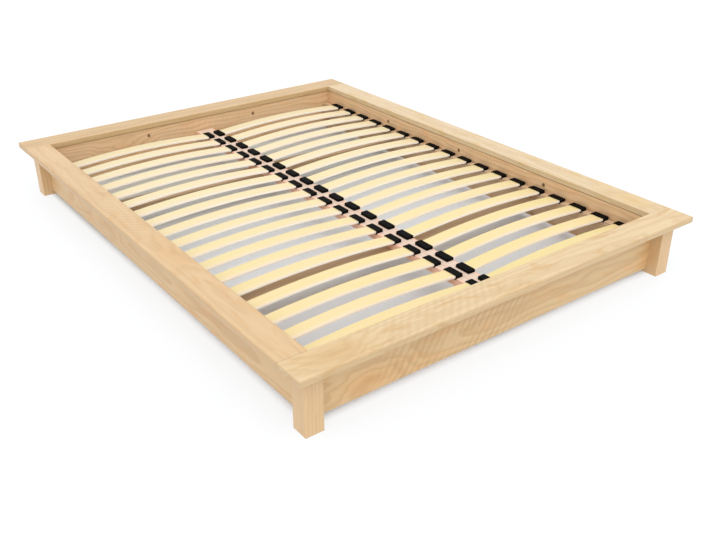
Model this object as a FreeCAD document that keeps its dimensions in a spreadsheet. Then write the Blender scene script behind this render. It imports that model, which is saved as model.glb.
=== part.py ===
import FreeCAD, Part
import os
import Sketcher

# A low double bed without a headboard. Four flat boards make a wide rim that lies on four upright
# rails and four square legs. Inside the rails a loose slatted base rests on two cleats: two side
# rails, a centre rail and two cross rails that carry 36 bowed slats in plastic end caps.
# The origin is on the floor under the bed's middle. X runs across the bed, Y towards the head.

SIZES = (
    ("bed_width", 1600, "across the rim boards, outside to outside"),
    ("bed_length", 2132, "along the rim boards, outside to outside"),
    ("bed_height", 218, "floor to the rim's upper face"),
    ("rim_thickness", 21, "thickness of the four rim boards"),
    ("side_rim_width", 96, "width of the left and right rim boards"),
    ("end_rim_width", 105, "width of the head and foot rim boards"),
    ("rim_outer_rounding", 4, "radius of the rim's upper outer edge"),
    ("eased_edge", 1.5, "radius of the other long edges"),
    ("rail_thickness", 18, "thickness of the four upright rails"),
    ("rail_floor_gap", 17, "floor to the rails' lower edges"),
    ("side_rail_recess", 2, "side rim board's inner edge to the rail's inner face"),
    ("end_rail_recess", 5, "end rim board's inner edge to the rail's inner face"),
    ("leg_width", 60, "leg section across the bed"),
    ("leg_depth", 60, "leg section along the bed"),
    ("leg_reach", 4, "how far a leg reaches inwards past the side rails' inner faces"),
    ("leg_edge_rounding", 2, "radius of the legs' upright edges"),
    ("cam_diameter", 15, "cam lock housing"),
    ("cam_depth", 13, "depth of a cam lock housing"),
    ("cam_hole_start", 3, "how far a cam's bolt hole passes its middle"),
    ("cam_slot_width", 2, "driver slot across a cam's face"),
    ("cam_slot_depth", 2.5, "depth of the driver slot"),
    ("cam_edge_distance", 34, "joint face to the cam's middle"),
    ("end_rim_cam_offset", 267, "bed's middle to each rim cam of an end rail"),
    ("side_rim_cam_offset", 480, "bed's middle to the outer rim cams of a side rail"),
    ("lower_corner_cam", 36, "side rail's lower edge to the lower corner cam"),
    ("lower_corner_dowel", 66, "side rail's lower edge to the lower corner dowel"),
    ("upper_corner_cam", 96, "side rail's lower edge to the upper corner cam"),
    ("upper_corner_dowel", 34, "side rail's upper edge to the upper corner dowel"),
    ("end_rail_joint_drop", 15, "how far the end rails' corner fittings lie under the side rails'"),
    ("bolt_shank_diameter", 6.6, "cam bolt shank and head"),
    ("bolt_head_length", 4, "cam bolt head"),
    ("bolt_neck_diameter", 4.2, "cam bolt neck that the cam grips"),
    ("bolt_neck_length", 4, "length of the neck"),
    ("bolt_thread_diameter", 5.4, "cam bolt thread"),
    ("bolt_thread_length", 11, "thread that sits in the joined piece"),
    ("dowel_diameter", 8, "beech dowel"),
    ("dowel_length", 30, "beech dowel"),
    ("dowel_chamfer", 1, "chamfer at both dowel ends"),
    ("side_rim_dowel_offset", 240, "bed's middle to the rim dowels of a side rail"),
    ("rim_joint_dowel_offset", 25, "rim board's middle line to its end dowels"),
    ("bore_clearance", 0.2, "room round every fitting in its bore"),
    ("cleat_width", 34, "cleat, across the bed"),
    ("cleat_height", 30, "cleat, upright"),
    ("cleat_cam_gap", 24.5, "corner cam to the cleat's end"),
    ("cleat_top", 82, "floor to the cleat's upper face"),
    ("cleat_dowels", 7, "dowels in each cleat"),
    ("cleat_dowel_margin", 60, "cleat's end to its first dowel"),
    ("cleat_dowel_in_rail", 12, "depth of a cleat dowel in the rail"),
    ("base_side_clearance", 2, "slatted base to the side rim boards"),
    ("base_end_clearance", 4, "slatted base to the end rim boards"),
    ("base_height", 56, "height of the base's side rails"),
    ("cross_rail_height", 28, "thickness of the cross rails"),
    ("cross_rail_width", 90, "cross rail, along the bed"),
    ("cross_rail_offset", 440, "bed's middle to each cross rail"),
    ("screw_diameter", 4.5, "countersunk wood screw"),
    ("screw_head_diameter", 8.5, "countersunk wood screw"),
    ("screw_cover", 5.5, "wood left between a screw's tip and a cap seat"),
    ("side_screw_offset", 25, "cross rail's middle to its end screws"),
    ("centre_screw_offset", 20, "bed's middle to the centre rail's screws"),
    ("slat_rows", 18, "slats in each of the two columns"),
    ("first_slat_distance", 97, "base's head end to the first slat's middle"),
    ("last_slat_distance", 83, "base's foot end to the last slat's middle"),
    ("slat_width", 53, "slat, along the bed"),
    ("slat_thickness", 8, "slat"),
    ("slat_bow", 17, "rise of a slat's middle over its ends"),
    ("slat_edge_rounding", 3, "radius of a slat's long edges"),
    ("slat_side_clearance", 0.3, "slat to the walls of its end cap"),
    ("slat_end_clearance", 1, "slat to the back wall of its end cap"),
    ("cap_length", 28, "end cap, across the bed"),
    ("cap_wall", 2, "back, base and top of an end cap"),
    ("cap_side_wall", 4, "walls of an end cap along the slat's long edges"),
    ("cap_seat_depth", 5.5, "depth of the seat that holds an end cap"),
    ("cap_seat_clearance", 0.3, "end cap to the walls of its seat"),
    ("cap_back_margin", 2, "wood left behind an outer end cap"),
    ("cap_corner_rounding", 3, "radius of an end cap's back corners"),
    ("centre_cap_gap", 24, "between the two end caps of a row at the middle"),
)

# Places that several pieces share, worked out from the sizes above.
RIM_BOTTOM = "(Sizes.bed_height - Sizes.rim_thickness)"
RAIL_HEIGHT = f"({RIM_BOTTOM} - Sizes.rail_floor_gap)"
SIDE_RIM_X = "(Sizes.bed_width / 2 - Sizes.side_rim_width / 2)"
END_RIM_Y = "(Sizes.bed_length / 2 - Sizes.end_rim_width / 2)"
OPENING_X = "(Sizes.bed_width / 2 - Sizes.side_rim_width)"
OPENING_Y = "(Sizes.bed_length / 2 - Sizes.end_rim_width)"
RAIL_INNER_X = f"({OPENING_X} + Sizes.side_rail_recess)"
RAIL_INNER_Y = f"({OPENING_Y} + Sizes.end_rail_recess)"
SIDE_RAIL_X = f"({RAIL_INNER_X} + Sizes.rail_thickness / 2)"
END_RAIL_Y = f"({RAIL_INNER_Y} + Sizes.rail_thickness / 2)"
LEG_X = f"({RAIL_INNER_X} - Sizes.leg_reach + Sizes.leg_width / 2)"
LEG_Y = f"({RAIL_INNER_Y} + Sizes.leg_depth / 2)"
SIDE_RAIL_LENGTH = f"(2 * {LEG_Y} - Sizes.leg_depth)"
END_RAIL_LENGTH = f"(2 * {LEG_X} - Sizes.leg_width)"
CLEAT_END_GAP = "(Sizes.cam_edge_distance + Sizes.cam_diameter / 2 + Sizes.cleat_cam_gap)"
CLEAT_LENGTH = f"({SIDE_RAIL_LENGTH} - 2 * {CLEAT_END_GAP})"
CLEAT_DOWEL_PITCH = f"(({CLEAT_LENGTH} - 2 * Sizes.cleat_dowel_margin) / (Sizes.cleat_dowels - 1))"
CLEAT_X = f"({RAIL_INNER_X} - Sizes.cleat_width / 2)"
BASE_X = f"({OPENING_X} - Sizes.base_side_clearance)"
BASE_Y = f"({OPENING_Y} - Sizes.base_end_clearance)"
BASE_TOP = "(Sizes.cleat_top + Sizes.base_height)"
BASE_RAIL_WIDTH = "(Sizes.cap_back_margin + Sizes.cap_length)"
BASE_RAIL_X = f"({BASE_X} - {BASE_RAIL_WIDTH} / 2)"
BASE_INNER_X = f"({BASE_X} - {BASE_RAIL_WIDTH})"
CENTRE_RAIL_WIDTH = "(Sizes.centre_cap_gap + 2 * Sizes.cap_length)"
CENTRE_RAIL_HEIGHT = "(Sizes.base_height - Sizes.cross_rail_height)"
FIRST_SLAT_Y = f"({BASE_Y} - Sizes.first_slat_distance)"
LAST_SLAT_Y = f"(Sizes.last_slat_distance - {BASE_Y})"
SLAT_RUN = f"({FIRST_SLAT_Y} - {LAST_SLAT_Y})"
SLAT_PITCH = f"({SLAT_RUN} / (Sizes.slat_rows - 1))"
CAP_SEAT_Z = f"({BASE_TOP} - Sizes.cap_seat_depth)"
OUTER_CAP_X = f"({BASE_X} - Sizes.cap_back_margin)"
CENTRE_CAP_X = "(Sizes.centre_cap_gap / 2)"
SLAT_INNER_X = f"({CENTRE_CAP_X} + Sizes.cap_wall + Sizes.slat_end_clearance)"
SLAT_OUTER_X = f"({OUTER_CAP_X} - Sizes.cap_wall - Sizes.slat_end_clearance)"
SLAT_LENGTH = f"({SLAT_OUTER_X} - {SLAT_INNER_X})"
SLAT_RADIUS = f"(({SLAT_LENGTH} ^ 2 / 4 + Sizes.slat_bow ^ 2) / (2 * Sizes.slat_bow))"
CAP_WIDTH = "(Sizes.slat_width + 2 * Sizes.slat_side_clearance + 2 * Sizes.cap_side_wall)"
CAP_MOUTH_RISE = f"(4 * Sizes.slat_bow / {SLAT_LENGTH} * Sizes.cap_length)"
CAP_SLOT = f"(Sizes.slat_thickness + 2 * Sizes.slat_side_clearance + {CAP_MOUTH_RISE})"
CAP_HEIGHT = f"({CAP_SLOT} + 2 * Sizes.cap_wall)"
SLAT_END_Z = f"({CAP_SEAT_Z} + Sizes.cap_wall + Sizes.slat_side_clearance)"

SHANK_BORE = "(Sizes.bolt_shank_diameter / 2 + Sizes.bore_clearance)"
THREAD_BORE = "(Sizes.bolt_thread_diameter / 2 + Sizes.bore_clearance)"
THREAD_BORE_DEPTH = "(Sizes.bolt_thread_length + Sizes.bore_clearance)"
DOWEL_BORE = "(Sizes.dowel_diameter / 2 + Sizes.bore_clearance)"
DOWEL_BORE_DEPTH = "(Sizes.dowel_length / 2 + Sizes.bore_clearance)"
SCREW_BORE = "(Sizes.screw_diameter / 2 + Sizes.bore_clearance)"
SCREW_HEAD_HEIGHT = "(Sizes.screw_head_diameter / 2 - Sizes.screw_diameter / 2)"
SCREW_LENGTH = "(Sizes.base_height - Sizes.cap_seat_depth - Sizes.screw_cover)"

SIDES = (("left", -1), ("right", 1))
ENDS = (("foot", -1), ("head", 1))
ALONG_X = FreeCAD.Vector(1, 0, 0)
ALONG_Y = FreeCAD.Vector(0, 1, 0)
ALONG_Z = FreeCAD.Vector(0, 0, 1)

document = FreeCAD.newDocument("low_double_bed")
sheet = document.addObject("Spreadsheet::Sheet", "Sizes")
pieces = {}


def fill_sheet():
    """Write every driving size with its name and meaning into the sheet."""
    for row, (name, number, meaning) in enumerate(SIZES, start=1):
        sheet.set(f"A{row}", name)
        sheet.set(f"B{row}", str(number))
        sheet.setAlias(f"B{row}", name)
        sheet.set(f"C{row}", meaning)
    document.recompute()


def value(expression):
    """The number that an expression over the sheet gives."""
    return float(sheet.evalExpression(expression))


def new_body(label):
    """An empty body for one sub-part."""
    body = document.addObject("PartDesign::Body", label)
    body.Label = label
    return body


def place(body, x, y, z):
    """Bind a body's position in the bed to the sheet."""
    for axis, expression in (("x", x), ("y", y), ("z", z)):
        body.setExpression(f"Placement.Base.{axis}", expression)


def origin_feature(body, role):
    """One of the body's own origin planes or axes."""
    return [feature for feature in body.Origin.OriginFeatures if feature.Role == role][0]


def new_sketch(body, name, plane, offset="0"):
    """A sketch on one of the body's origin planes, moved along the plane's normal."""
    sketch = body.newObject("Sketcher::SketchObject", f"{body.Name}_{name}")
    sketch.AttachmentSupport = [(origin_feature(body, plane), "")]
    sketch.MapMode = "FlatFace"
    sketch.setExpression("AttachmentOffset.Base.z", offset)
    return sketch


def pin(sketch, geometry, point, x, y):
    """Hold a sketch point at a place given by two expressions."""
    for kind, axis, expression in (("DistanceX", -2, x), ("DistanceY", -1, y)):
        if expression == "0":
            sketch.addConstraint(Sketcher.Constraint("PointOnObject", geometry, point, axis))
            continue
        number = sketch.addConstraint(
            Sketcher.Constraint(kind, -1, 1, geometry, point, value(expression)))
        sketch.setExpression(f"Constraints[{number}]", expression)


def draw_polygon(sketch, corners):
    """A closed outline whose corners are pairs of expressions."""
    points = [FreeCAD.Vector(value(x), value(y), 0) for x, y in corners]
    first = sketch.GeometryCount
    for start, end in zip(points, points[1:] + points[:1]):
        sketch.addGeometry(Part.LineSegment(start, end))
    for number in range(len(corners)):
        following = (number + 1) % len(corners)
        sketch.addConstraint(
            Sketcher.Constraint("Coincident", first + number, 2, first + following, 1))
    for number, (x, y) in enumerate(corners):
        pin(sketch, first + number, 1, x, y)


def draw_rectangle(sketch, left, right, low, high):
    """A rectangle between four expressions."""
    draw_polygon(sketch, ((left, low), (right, low), (right, high), (left, high)))


def add_pad(body, sketch, length):
    """Raise a sketch into a solid."""
    pad = body.newObject("PartDesign::Pad", f"{body.Name}_pad")
    pad.Profile = sketch
    pad.setExpression("Length", length)
    document.recompute()
    return pad


def add_pocket(body, sketch, depth, reverse):
    """Cut a sketch into the body and make sure that it removed material."""
    pocket = body.newObject("PartDesign::Pocket", f"{sketch.Name}_cut")
    pocket.Profile = sketch
    pocket.Reversed = reverse
    pocket.setExpression("Length", depth)
    document.recompute()
    if pocket.Shape.Volume > pocket.BaseFeature.Shape.Volume - 1:
        raise RuntimeError(f"{pocket.Name} cuts nothing")
    return pocket


def round_edges(body, name, radius, wanted):
    """Round the edges of the body's last feature that the test picks."""
    base = body.Tip
    names = [f"Edge{number}" for number, edge in enumerate(base.Shape.Edges, start=1) if wanted(edge)]
    fillet = body.newObject("PartDesign::Fillet", f"{body.Name}_{name}")
    fillet.Base = (base, names)
    fillet.setExpression("Radius", radius)
    document.recompute()


def runs_along(edge, direction):
    """Whether an edge is straight and parallel to a direction."""
    if edge.Curve.TypeId != "Part::GeomLine":
        return False
    return edge.tangentAt(edge.FirstParameter).cross(direction).Length < 1e-6


def at_height(edge, height):
    """Whether an edge lies at a height."""
    return abs(edge.CenterOfMass.z - height) < 1e-6


class Block:
    """A rectangular board or post, centred in plan, that can be drilled from any of its six faces."""

    def __init__(self, label, x_size, y_size, z_size):
        self.body = new_body(label)
        half_x, half_y = f"({x_size}) / 2", f"({y_size}) / 2"
        self.faces = {
            "top": ("XY_Plane", z_size, False),
            "bottom": ("XY_Plane", "0", True),
            "front": ("XZ_Plane", half_y, False),
            "back": ("XZ_Plane", f"-{half_y}", True),
            "left": ("YZ_Plane", f"-{half_x}", True),
            "right": ("YZ_Plane", half_x, False),
        }
        outline = new_sketch(self.body, "outline", "XY_Plane")
        draw_rectangle(outline, f"-{half_x}", half_x, f"-{half_y}", half_y)
        add_pad(self.body, outline, z_size)
        pieces[label] = self.body

    def drill(self, name, face, centres, radius, depth):
        """Round bores from one face, each centre given in that face's two directions."""
        plane, offset, reverse = self.faces[face]
        sketch = new_sketch(self.body, name, plane, offset)
        for number, (across, up) in enumerate(centres):
            centre = FreeCAD.Vector(value(across), value(up), 0)
            sketch.addGeometry(Part.Circle(centre, ALONG_Z, value(radius)))
            constraint = sketch.addConstraint(
                Sketcher.Constraint("Radius", number, value(radius)))
            sketch.setExpression(f"Constraints[{constraint}]", radius)
            pin(sketch, number, 3, across, up)
        return add_pocket(self.body, sketch, depth, reverse)

    def countersink(self, name, face_position, axis):
        """Bevel the rims of the screw bores in the face at a position along an axis."""
        radius = value(SCREW_BORE)
        base = self.body.Tip
        names = []
        for number, edge in enumerate(base.Shape.Edges, start=1):
            round_edge = edge.Curve.TypeId == "Part::GeomCircle"
            if not round_edge or abs(edge.Curve.Radius - radius) > 1e-6:
                continue
            if abs(edge.CenterOfMass.dot(axis) - value(face_position)) < 1e-6:
                names.append(f"Edge{number}")
        chamfer = self.body.newObject("PartDesign::Chamfer", f"{self.body.Name}_{name}")
        chamfer.Base = (base, names)
        chamfer.setExpression("Size", SCREW_HEAD_HEIGHT)
        document.recompute()


# Rim: four boards laid flat. The head and foot boards run the full width and the side boards
# butt against them, held by cam bolts from the rails below and by dowels.

def make_end_rim_board(end, sign):
    """The head or foot rim board, rounded along its outer edge."""
    board = Block(f"{end}_rim_board", "Sizes.bed_width", "Sizes.end_rim_width", "Sizes.rim_thickness")
    top = value("Sizes.rim_thickness")
    outer_y = sign * value("Sizes.end_rim_width") / 2

    def outer_top(edge):
        if not at_height(edge, top):
            return False
        return runs_along(edge, ALONG_Y) or abs(edge.CenterOfMass.y - outer_y) < 1e-6

    def other_long(edge):
        return runs_along(edge, ALONG_X) and abs(edge.CenterOfMass.y + outer_y) < 1e-6

    def outer_bottom(edge):
        return at_height(edge, 0) and abs(edge.CenterOfMass.y - outer_y) < 1e-6

    round_edges(board.body, "outer_rounding", "Sizes.rim_outer_rounding", outer_top)
    round_edges(board.body, "inner_easing", "Sizes.eased_edge", other_long)
    round_edges(board.body, "lower_easing", "Sizes.eased_edge", outer_bottom)
    rail_line = f"{sign} * ({END_RAIL_Y} - {END_RIM_Y})"
    leg_line = f"{sign} * ({LEG_Y} - {END_RIM_Y})"
    bolts = [(f"{side} * Sizes.end_rim_cam_offset", rail_line) for side in (-1, 1)]
    board.drill("bolt_bores", "bottom", bolts, THREAD_BORE, THREAD_BORE_DEPTH)
    dowels = [("0", rail_line)] + [(f"{side} * {LEG_X}", leg_line) for side in (-1, 1)]
    board.drill("dowel_bores", "bottom", dowels, DOWEL_BORE, DOWEL_BORE_DEPTH)
    joint_dowels = []
    for side in (-1, 1):
        for shift in (-1, 1):
            across = f"{side} * {SIDE_RIM_X} + {shift} * Sizes.rim_joint_dowel_offset"
            joint_dowels.append((across, "Sizes.rim_thickness / 2"))
    inner_face = "front" if sign > 0 else "back"
    board.drill("joint_bores", inner_face, joint_dowels, DOWEL_BORE, DOWEL_BORE_DEPTH)
    place(board.body, "0", f"{sign} * {END_RIM_Y}", RIM_BOTTOM)


def make_side_rim_board(side, sign):
    """The left or right rim board between the head and foot boards."""
    board = Block(f"{side}_rim_board", "Sizes.side_rim_width", f"2 * {OPENING_Y}", "Sizes.rim_thickness")
    top = value("Sizes.rim_thickness")
    outer_x = sign * value("Sizes.side_rim_width") / 2

    def outer_top(edge):
        return at_height(edge, top) and abs(edge.CenterOfMass.x - outer_x) < 1e-6

    def other_long(edge):
        return runs_along(edge, ALONG_Y) and abs(edge.CenterOfMass.x + outer_x) < 1e-6

    def outer_bottom(edge):
        return at_height(edge, 0) and abs(edge.CenterOfMass.x - outer_x) < 1e-6

    round_edges(board.body, "outer_rounding", "Sizes.rim_outer_rounding", outer_top)
    round_edges(board.body, "inner_easing", "Sizes.eased_edge", other_long)
    round_edges(board.body, "lower_easing", "Sizes.eased_edge", outer_bottom)
    rail_line = f"{sign} * ({SIDE_RAIL_X} - {SIDE_RIM_X})"
    bolts = [(rail_line, f"{step} * Sizes.side_rim_cam_offset") for step in (-1, 1)]
    bolts.append((rail_line, "0"))
    board.drill("bolt_bores", "bottom", bolts, THREAD_BORE, THREAD_BORE_DEPTH)
    dowels = [(rail_line, f"{step} * Sizes.side_rim_dowel_offset") for step in (-1, 1)]
    board.drill("dowel_bores", "bottom", dowels, DOWEL_BORE, DOWEL_BORE_DEPTH)
    joint_dowels = [(f"{shift} * Sizes.rim_joint_dowel_offset", "Sizes.rim_thickness / 2")
                    for shift in (-1, 1)]
    for face in ("front", "back"):
        board.drill(f"{face}_joint_bores", face, joint_dowels, DOWEL_BORE, DOWEL_BORE_DEPTH)
    place(board.body, f"{sign} * {SIDE_RIM_X}", "0", RIM_BOTTOM)


# Rails: upright boards between the legs that carry the rim. Cam locks in their inner faces pull
# the rim down from above and the rails against the legs at both ends.

def corner_heights(fitting, end_rail):
    """Heights of the lower and upper corner fittings over a rail's lower edge."""
    drop = " - Sizes.end_rail_joint_drop" if end_rail else ""
    if fitting == "cam":
        return [f"Sizes.lower_corner_cam{drop}", f"Sizes.upper_corner_cam{drop}"]
    upper = f"{RAIL_HEIGHT} - Sizes.upper_corner_dowel"
    return [f"Sizes.lower_corner_dowel{drop}", f"{upper}{drop}"]


def drill_rail(rail, inner_face, end_faces, half_length, along_top, end_rail):
    """The cam housings, bolt bores and dowel bores that every rail has."""
    cam_depth = "Sizes.cam_depth + Sizes.bore_clearance"
    cam_radius = "Sizes.cam_diameter / 2 + Sizes.bore_clearance"
    bolt_depth = "Sizes.cam_edge_distance"
    rim_cam_z = f"({RAIL_HEIGHT} - Sizes.cam_edge_distance)"
    cams = [(place_along, rim_cam_z) for place_along in along_top["cams"]]
    for height in corner_heights("cam", end_rail):
        for step in (-1, 1):
            cams.append((f"{step} * ({half_length} - Sizes.cam_edge_distance)", height))
    rail.drill("cam_housings", inner_face, cams, cam_radius, cam_depth)
    as_plan = (lambda run: (run, "0")) if end_rail else (lambda run: ("0", run))
    rail.drill("rim_bolt_bores", "top", [as_plan(run) for run in along_top["cams"]],
               SHANK_BORE, bolt_depth)
    rail.drill("rim_dowel_bores", "top", [as_plan(run) for run in along_top["dowels"]],
               DOWEL_BORE, DOWEL_BORE_DEPTH)
    for face in end_faces:
        rail.drill(f"{face}_bolt_bores", face, [("0", z) for z in corner_heights("cam", end_rail)],
                   SHANK_BORE, bolt_depth)
        rail.drill(f"{face}_dowel_bores", face, [("0", z) for z in corner_heights("dowel", end_rail)],
                   DOWEL_BORE, DOWEL_BORE_DEPTH)


def cleat_dowel_runs():
    """Places of the cleat dowels along the bed."""
    first = f"Sizes.cleat_dowel_margin - {CLEAT_LENGTH} / 2"
    return [f"{first} + {number} * {CLEAT_DOWEL_PITCH}"
            for number in range(int(value("Sizes.cleat_dowels")))]


def make_end_rail(end, sign):
    """The head or foot rail."""
    rail = Block(f"{end}_rail", END_RAIL_LENGTH, "Sizes.rail_thickness", RAIL_HEIGHT)
    round_edges(rail.body, "easing", "Sizes.eased_edge", lambda edge: (
        runs_along(edge, ALONG_X) and at_height(edge, 0)))
    along_top = {
        "cams": [f"{step} * Sizes.end_rim_cam_offset" for step in (-1, 1)],
        "dowels": ["0"],
    }
    inner_face = "front" if sign > 0 else "back"
    drill_rail(rail, inner_face, ("left", "right"), f"{END_RAIL_LENGTH} / 2", along_top, True)
    place(rail.body, "0", f"{sign} * {END_RAIL_Y}", "Sizes.rail_floor_gap")


def make_side_rail(side, sign):
    """The left or right rail, with the dowel bores for its cleat."""
    rail = Block(f"{side}_rail", "Sizes.rail_thickness", SIDE_RAIL_LENGTH, RAIL_HEIGHT)
    round_edges(rail.body, "easing", "Sizes.eased_edge", lambda edge: (
        runs_along(edge, ALONG_Y) and at_height(edge, 0)))
    along_top = {
        "cams": ["0"] + [f"{step} * Sizes.side_rim_cam_offset" for step in (-1, 1)],
        "dowels": [f"{step} * Sizes.side_rim_dowel_offset" for step in (-1, 1)],
    }
    inner_face = "left" if sign > 0 else "right"
    drill_rail(rail, inner_face, ("front", "back"), f"{SIDE_RAIL_LENGTH} / 2", along_top, False)
    cleat_line = "(Sizes.cleat_top - Sizes.cleat_height / 2 - Sizes.rail_floor_gap)"
    rail.drill("cleat_dowel_bores", inner_face, [(run, cleat_line) for run in cleat_dowel_runs()],
               DOWEL_BORE, "Sizes.cleat_dowel_in_rail + Sizes.bore_clearance")
    place(rail.body, f"{sign} * {SIDE_RAIL_X}", "0", "Sizes.rail_floor_gap")


# Legs: four square posts from the floor to the rim, set in from the rim's edge.

def make_leg(end, end_sign, side, side_sign):
    """One leg, with bores for the two rails and the dowel into the rim."""
    leg = Block(f"{end}_{side}_leg", "Sizes.leg_width", "Sizes.leg_depth", RIM_BOTTOM)
    round_edges(leg.body, "rounding", "Sizes.leg_edge_rounding",
                lambda edge: runs_along(edge, ALONG_Z))
    side_rail_line = f"{side_sign} * ({SIDE_RAIL_X} - {LEG_X})"
    end_rail_line = f"{end_sign} * ({END_RAIL_Y} - {LEG_Y})"
    meets_side_rail = "front" if end_sign > 0 else "back"
    meets_end_rail = "left" if side_sign > 0 else "right"
    for face, line, end_rail in ((meets_side_rail, side_rail_line, False),
                                 (meets_end_rail, end_rail_line, True)):
        for fitting, radius, depth in (("cam", THREAD_BORE, THREAD_BORE_DEPTH),
                                       ("dowel", DOWEL_BORE, DOWEL_BORE_DEPTH)):
            heights = corner_heights(fitting, end_rail)
            centres = [(line, f"{height} + Sizes.rail_floor_gap") for height in heights]
            leg.drill(f"{face}_{fitting}_bores", face, centres, radius, depth)
    leg.drill("rim_dowel_bore", "top", [("0", "0")], DOWEL_BORE, DOWEL_BORE_DEPTH)
    place(leg.body, f"{side_sign} * {LEG_X}", f"{end_sign} * {LEG_Y}", "0")


# Cleats: a batten along the inside of each side rail on which the slatted base rests.

def make_cleat(side, sign):
    """The left or right cleat."""
    cleat = Block(f"{side}_cleat", "Sizes.cleat_width", CLEAT_LENGTH, "Sizes.cleat_height")
    round_edges(cleat.body, "easing", "Sizes.eased_edge", lambda edge: (
        runs_along(edge, ALONG_Y) and edge.CenterOfMass.x * sign < 0))
    rail_face = "right" if sign > 0 else "left"
    runs = [(run, "Sizes.cleat_height / 2") for run in cleat_dowel_runs()]
    depth = "Sizes.dowel_length - Sizes.cleat_dowel_in_rail + Sizes.bore_clearance"
    cleat.drill("dowel_bores", rail_face, runs, DOWEL_BORE, depth)
    place(cleat.body, f"{sign} * {CLEAT_X}", "0", "Sizes.cleat_top - Sizes.cleat_height")


# Slatted base: a loose frame that lies on the cleats and lifts out of the rim. The rails' upper
# edges have a row of seats, each open towards the slat, that hold the slats' end caps.

def cut_cap_seats(block, seats):
    """Seats for one end cap per seat and row, repeated along the bed."""
    plane, offset, reverse = block.faces["top"]
    sketch = new_sketch(block.body, "cap_seat", plane, offset)
    half_width = f"({CAP_WIDTH} / 2 + Sizes.cap_seat_clearance)"
    for left, right in seats:
        draw_rectangle(sketch, left, right, f"{LAST_SLAT_Y} - {half_width}",
                       f"{LAST_SLAT_Y} + {half_width}")
    pocket = add_pocket(block.body, sketch, "Sizes.cap_seat_depth", reverse)
    pattern = block.body.newObject("PartDesign::LinearPattern", f"{block.body.Name}_cap_seats")
    pattern.Originals = [pocket]
    pattern.Direction = (origin_feature(block.body, "Y_Axis"), [""])
    pattern.Mode = "Extent"
    pattern.setExpression("Length", SLAT_RUN)
    pattern.setExpression("Occurrences", "Sizes.slat_rows")
    block.body.Tip = pattern
    document.recompute()
    if pattern.Shape.Volume > pocket.Shape.Volume - 1:
        raise RuntimeError(f"{pattern.Name} repeats nothing")


def side_screw_centres(axis_height):
    """Screw places where the two cross rails meet a side rail."""
    return [(f"{end} * Sizes.cross_rail_offset + {shift} * Sizes.side_screw_offset", axis_height)
            for end in (-1, 1) for shift in (-1, 1)]


def make_base_side_rail(side, sign):
    """The left or right rail of the slatted base."""
    rail = Block(f"{side}_base_rail", BASE_RAIL_WIDTH, f"2 * {BASE_Y}", "Sizes.base_height")
    round_edges(rail.body, "easing", "Sizes.eased_edge", lambda edge: (
        runs_along(edge, ALONG_Y) and edge.CenterOfMass.x * sign > 0))
    back = f"{sign} * ({OUTER_CAP_X} - {BASE_RAIL_X} + Sizes.cap_seat_clearance)"
    mouth = f"{-sign} * {BASE_RAIL_WIDTH} / 2"
    cut_cap_seats(rail, [(back, mouth)])
    outer_face = "right" if sign > 0 else "left"
    rail.drill("screw_bores", outer_face, side_screw_centres("Sizes.cross_rail_height / 2"),
               SCREW_BORE, BASE_RAIL_WIDTH)
    rail.countersink("countersinks", f"{sign} * {BASE_RAIL_WIDTH} / 2", ALONG_X)
    place(rail.body, f"{sign} * {BASE_RAIL_X}", "0", "Sizes.cleat_top")


def make_base_centre_rail():
    """The flat rail under the inner ends of both slat columns."""
    rail = Block("centre_base_rail", CENTRE_RAIL_WIDTH, f"2 * {BASE_Y}", CENTRE_RAIL_HEIGHT)
    round_edges(rail.body, "easing", "Sizes.eased_edge", lambda edge: (
        runs_along(edge, ALONG_Y) and at_height(edge, 0)))
    seats = []
    for sign in (-1, 1):
        back = f"{sign} * ({CENTRE_CAP_X} - Sizes.cap_seat_clearance)"
        seats.append((back, f"{sign} * {CENTRE_RAIL_WIDTH} / 2"))
    cut_cap_seats(rail, seats)
    centres = [(f"{side} * Sizes.centre_screw_offset", f"{end} * Sizes.cross_rail_offset")
               for side in (-1, 1) for end in (-1, 1)]
    depth = f"{SCREW_LENGTH} - Sizes.cross_rail_height + Sizes.bore_clearance"
    rail.drill("screw_bores", "bottom", centres, SCREW_BORE, depth)
    place(rail.body, "0", "0", "Sizes.cleat_top + Sizes.cross_rail_height")


def make_cross_rail(end, sign):
    """One flat cross rail between the side rails, under the centre rail."""
    length = f"2 * {BASE_INNER_X}"
    rail = Block(f"{end}_cross_rail", length, "Sizes.cross_rail_width", "Sizes.cross_rail_height")
    round_edges(rail.body, "easing", "Sizes.eased_edge",
                lambda edge: runs_along(edge, ALONG_X))
    ends = [(f"{shift} * Sizes.side_screw_offset", "Sizes.cross_rail_height / 2")
            for shift in (-1, 1)]
    depth = f"{SCREW_LENGTH} - {BASE_RAIL_WIDTH} + Sizes.bore_clearance"
    for face in ("left", "right"):
        rail.drill(f"{face}_screw_bores", face, ends, SCREW_BORE, depth)
    middle = [(f"{side} * Sizes.centre_screw_offset", "0") for side in (-1, 1)]
    rail.drill("centre_screw_bores", "bottom", middle, SCREW_BORE, "Sizes.cross_rail_height")
    rail.countersink("countersinks", "0", ALONG_Z)
    place(rail.body, "0", f"{sign} * Sizes.cross_rail_offset", "Sizes.cleat_top")


# Slats: bowed strips, one arc from cap to cap, in two columns of 18.

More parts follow.
